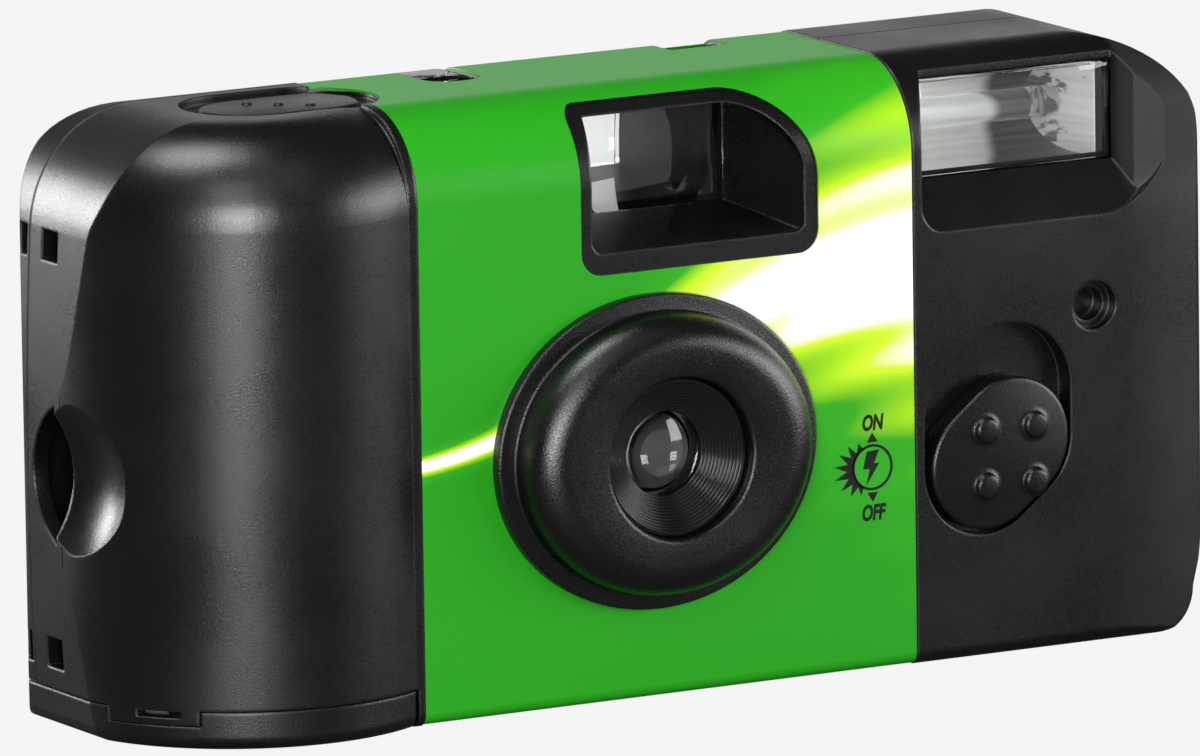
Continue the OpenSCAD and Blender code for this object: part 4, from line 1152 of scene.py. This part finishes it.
@dataclass
class Markings:
    """Printed switch marks on the wrap and numbers on the counter disc."""

    face: float = -11.05
    thick: float = 0.03
    x: float = 18.87
    on_z: float = 22.24
    off_z: float = 14.17
    word_size: float = 1.9
    word_width: float = 0.7
    word_bold: float = 0.075
    word_slant: float = 0.18
    ring_z: float = 18.3
    ring_r: float = 1.95
    ring_line: float = 0.12
    bolt: tuple[Point2, ...] = ((-0.55, 1.45), (0.7, 1.55), (0.15, 0.35), (0.7, 0.32), (-0.65, -1.55),
                                (-0.25, -0.15), (-0.95, -0.08))
    arrow_start: float = 2.25
    arrow_half: float = 0.55
    arrow_l: float = 0.85
    burst_shift: Point2 = (-1.0, -0.1)
    burst_points: int = 8
    burst_first: float = 100.0
    burst_step: float = 11.8
    burst_valley: float = 1.62
    burst_tip: Point2 = (2.3, 0.65)
    disc: Point3 = (-19.6, 5.95, 50.4)
    disc_r: float = 4.4
    number_size: float = 1.7
    number_bold: float = 0.02
    numbers: tuple[int, ...] = tuple(range(0, 30, 3))

    @staticmethod
    def word(piece: Piece, text: str, size: float, place: Callable[[Vector], Sequence[float]], push: Vector,
             bold: float, slant: float = 0.0) -> None:
        """Adds a word to a piece.

        Args:
            piece: The piece.
            text: The word.
            size: Its letter size.
            place: Where a point of the flat word goes; its middle is the origin.
            push: Thickness of the print.
            bold: How far its outlines are grown.
            slant: Its slant.
        """
        curve = bpy.data.curves.new("word", "FONT")
        curve.body, curve.size, curve.offset, curve.shear = text, size, bold, slant
        curve.align_x = curve.align_y = "CENTER"
        curve.resolution_u = 6
        holder = bpy.data.objects.new("word", curve)
        bpy.context.scene.collection.objects.link(holder)
        bpy.context.view_layer.update()
        mesh = bpy.data.meshes.new_from_object(holder)
        verts = [piece.bm.verts.new(place(v.co)) for v in mesh.vertices]
        faces = [piece.bm.faces.new([verts[i] for i in p.vertices]) for p in mesh.polygons]
        bpy.data.objects.remove(holder)
        bpy.data.curves.remove(curve)
        bpy.data.meshes.remove(mesh)
        piece.thicken(faces, push)

    def burst(self) -> list[Point2]:
        """Draws the half burst on the left of the ring.

        Returns:
            Its corners, as X and Z.
        """
        points = arc((self.x, self.ring_z), self.ring_r, 242.0, 118.0, 24)
        for k in range(2 * self.burst_points - 1):
            angle = math.radians(self.burst_first + self.burst_step * k)
            tip = self.burst_tip[0] - self.burst_tip[1] * min(0.0, math.cos(angle))
            radius = tip if k % 2 == 0 else self.burst_valley
            points.append((self.x + self.burst_shift[0] + radius * math.cos(angle),
                           self.ring_z + self.burst_shift[1] + radius * math.sin(angle)))
        return points

    def switch_marks(self) -> Piece:
        """Builds the ring with its bolt, the half burst, both arrows and the two words.

        Returns:
            The piece under way.
        """
        piece = Piece("switch_marks")
        push = Vector((0.0, -self.thick, 0.0))
        marks = [[(self.x + u, self.ring_z + v) for u, v in self.bolt]]
        for way in (1.0, -1.0):
            base = self.ring_z + way * self.arrow_start
            marks.append([(self.x - self.arrow_half, base), (self.x + self.arrow_half, base),
                          (self.x, base + way * self.arrow_l)])
        for outline in (*marks, self.burst()):
            piece.slab([(x, self.face, z) for x, z in outline], push)
        low, high, top = self.ring_r - self.ring_line, self.ring_r + self.ring_line, self.face - self.thick
        piece.spin([(low, self.face), (high, self.face), (high, top), (low, top)], (self.x, self.ring_z), 48,
                   closed=True)
        for text, z in (("ON", self.on_z), ("OFF", self.off_z)):
            self.word(piece, text, self.word_size, lambda v, z=z: (self.x + v.x * self.word_width, self.face, z + v.y),
                      push, self.word_bold, self.word_slant)
        return piece

    def frame_numbers(self) -> Piece:
        """Builds the numbers round the counter disc.

        Returns:
            The piece under way.
        """
        piece = Piece("frame_numbers")
        cx, cy, top = self.disc
        for k, number in enumerate(self.numbers):
            angle = 2.0 * math.pi * k / len(self.numbers)

            def place(v: Vector, c: float = math.cos(angle), s: float = math.sin(angle)) -> Point3:
                """Puts a point of the word on the disc."""
                r = self.disc_r + v.y
                return cx + c * r + s * v.x, cy + s * r - c * v.x, top

            self.word(piece, str(number), self.number_size, place, Vector((0.0, 0.0, self.thick)), self.number_bold)
        return piece

    def build(self, finishes: Finishes) -> None:
        """Makes both sets of marks.

        Args:
            finishes: The materials.
        """
        self.switch_marks().finish(Body.CASE, Slot.LABEL, finishes.ink)
        self.frame_numbers().finish(Body.COUNTER, Slot.WHITE, finishes.pale)


class SolidPieces:
    """CAD pieces whose shape is right, and which only get a better finish."""

    def __init__(self, nodes: dict[str, bpy.types.Object], finishes: Finishes) -> None:
        """Keeps the nodes and their finishes.

        Args:
            nodes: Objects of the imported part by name.
            finishes: The materials.
        """
        self.nodes = nodes
        self.groups: list[tuple[bpy.types.Material, str]] = [
            (finishes.cover, "front_cover rear_cover bottom_lid advance_wheel"),
            (finishes.wrap, "label_wrap"),
            (finishes.inner, "shutter_plate release_lever wheel_pawl cartridge_spool supply_spool"
                             " viewfinder_tube switch_slider counter_disc"),
            (finishes.gloss, "main_frame"),
            (finishes.blade, "shutter_blade"),
            (finishes.steel, "kick_lever kick_spring battery_contact_pos battery_contact_neg"),
            (finishes.white, "sprocket_shaft"),
            (finishes.lens, "viewfinder_objective viewfinder_eyepiece"),
            (finishes.pane, "counter_window"),
            (finishes.panel, "flash_tube ready_lamp"),
            (finishes.amber, "lamp_guide"),
            (finishes.tin, "cartridge_shell cartridge_caps"),
            (finishes.felt, "cartridge_felt"),
            (finishes.film, "film_strip film_roll"),
            (finishes.board, "flash_board"),
            (finishes.sleeve, "flash_capacitor"),
            (finishes.copper, "flash_transformer trigger_coil"),
            (finishes.brass, "sync_contact switch_contact"),
            (finishes.jacket, "battery"),
        ]

    def dress(self) -> None:
        """Gives each CAD piece its material."""
        for material, names in self.groups:
            for name in names.split():
                mesh = self.nodes[name].data
                mesh.materials.clear()
                mesh.materials.append(material)
                LOG.info("%s: %s", name, material.name)


# Studio


@dataclass
class Lamp:
    """One soft area lamp that looks at the camera."""

    name: str
    place: Point3
    size: Point2
    power: float


@dataclass
class Studio:
    """Pale floor, soft lamps and the photo's camera."""

    target: Point3 = (-3.84, -2.65, 27.36)
    azimuth: float = -29.5
    elevation: float = 10.41
    roll: float = -0.84
    distance: float = 1563.26
    focal: float = 533.79
    floor_half: float = 6.0
    floor_tone: float = 0.08
    surround: float = 0.05
    lamps: tuple[Lamp, ...] = (
        Lamp("high_front", (-120.0, -600.0, 900.0), (1000.0, 800.0), 1.4),
        Lamp("low_front", (-275.0, -450.0, 110.0), (185.0, 200.0), 3.1),
        Lamp("left_front", (-317.0, -436.0, 468.0), (240.0, 240.0), 0.7),
        Lamp("low_right", (620.0, -430.0, 150.0), (460.0, 280.0), 3.2),
        Lamp("overhead", (-230.0, 60.0, 790.0), (380.0, 380.0), 4.8),
        Lamp("left_back", (-430.0, 760.0, 150.0), (320.0, 290.0), 3.8),
        Lamp("right", (760.0, -120.0, 150.0), (300.0, 260.0), 0.8),
        Lamp("back", (-60.0, 900.0, 210.0), (1900.0, 400.0), 1.35),
    )

    def floor(self) -> None:
        """Lays a wide floor that shows nearly white to the camera and is dark to other rays."""
        bm = bmesh.new()
        bmesh.ops.create_grid(bm, x_segments=1, y_segments=1, size=self.floor_half)
        mesh = bpy.data.meshes.new("floor")
        bm.to_mesh(mesh)
        bm.free()
        floor = bpy.data.objects.new("floor", mesh)
        bpy.context.scene.collection.objects.link(floor)
        make = ShaderBuilder("floor")
        make.set(Base_Color=(self.floor_tone,) * 3, Roughness=0.9)
        glow = make.add("Emission").outputs["Emission"]
        surface = make.shown(make.shader.outputs["BSDF"], glow, 0.9)
        make.fill(make.nodes["Material Output"], Surface=surface)
        mesh.materials.append(make.material)

    def world(self) -> None:
        """Sets an even surround, white to the camera and dim to other rays."""
        world = bpy.data.worlds.new("studio")
        bpy.context.scene.world = world
        world.use_nodes = True
        make = Nodes(world.node_tree)
        sky = make.fill(make.nodes["Background"], Color=(1.0, 1.0, 1.0), Strength=self.surround)
        plain = make.add("Background", Strength=1.0)
        surface = make.shown(sky.outputs["Background"], plain.outputs["Background"], 1.0)
        make.fill(make.nodes["World Output"], Surface=surface)

    def lights(self) -> None:
        """Hangs the lamps."""
        aim = Vector(self.target) * MM
        for lamp in self.lamps:
            light = bpy.data.lights.new(lamp.name, "AREA")
            light.shape = "RECTANGLE"
            light.size, light.size_y = lamp.size[0] * MM, lamp.size[1] * MM
            light.energy = lamp.power
            holder = bpy.data.objects.new(lamp.name, light)
            holder.location = Vector(lamp.place) * MM
            holder.rotation_euler = (aim - holder.location).to_track_quat("-Z", "Y").to_euler()
            bpy.context.scene.collection.objects.link(holder)

    def camera(self) -> None:
        """Sets the camera at the photo's angle."""
        az, el, roll = (math.radians(v) for v in (self.azimuth, self.elevation, self.roll))
        back = Vector((math.sin(az) * math.cos(el), -math.cos(az) * math.cos(el), math.sin(el)))
        right = (-back).cross(Vector((0.0, 0.0, 1.0))).normalized()
        up = right.cross(-back)
        axes = (math.cos(roll) * right + math.sin(roll) * up, -math.sin(roll) * right + math.cos(roll) * up, back)
        data = bpy.data.cameras.new("photo_camera")
        data.sensor_width = 36.0
        data.lens = self.focal
        camera = bpy.data.objects.new("photo_camera", data)
        turn = Matrix(axes).transposed().to_4x4()
        camera.matrix_world = Matrix.Translation((Vector(self.target) + back * self.distance) * MM) @ turn
        bpy.context.scene.collection.objects.link(camera)
        bpy.context.scene.camera = camera

    def build(self) -> None:
        """Makes the whole studio."""
        self.floor()
        self.world()
        self.lights()
        self.camera()
        bpy.context.scene.view_settings.view_transform = "Standard"


def main() -> None:
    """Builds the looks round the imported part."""
    logging.basicConfig(level=logging.INFO, format="%(name)s: %(message)s")
    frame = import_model()
    finishes = Finishes()
    SolidPieces(frame["nodes"], finishes).dress()
    LensUnit().build(finishes)
    FlashUnit().build(finishes)
    Controls().build(finishes)
    Markings().build(finishes)
    Studio().build()


if __name__ == "__main__":
    main()
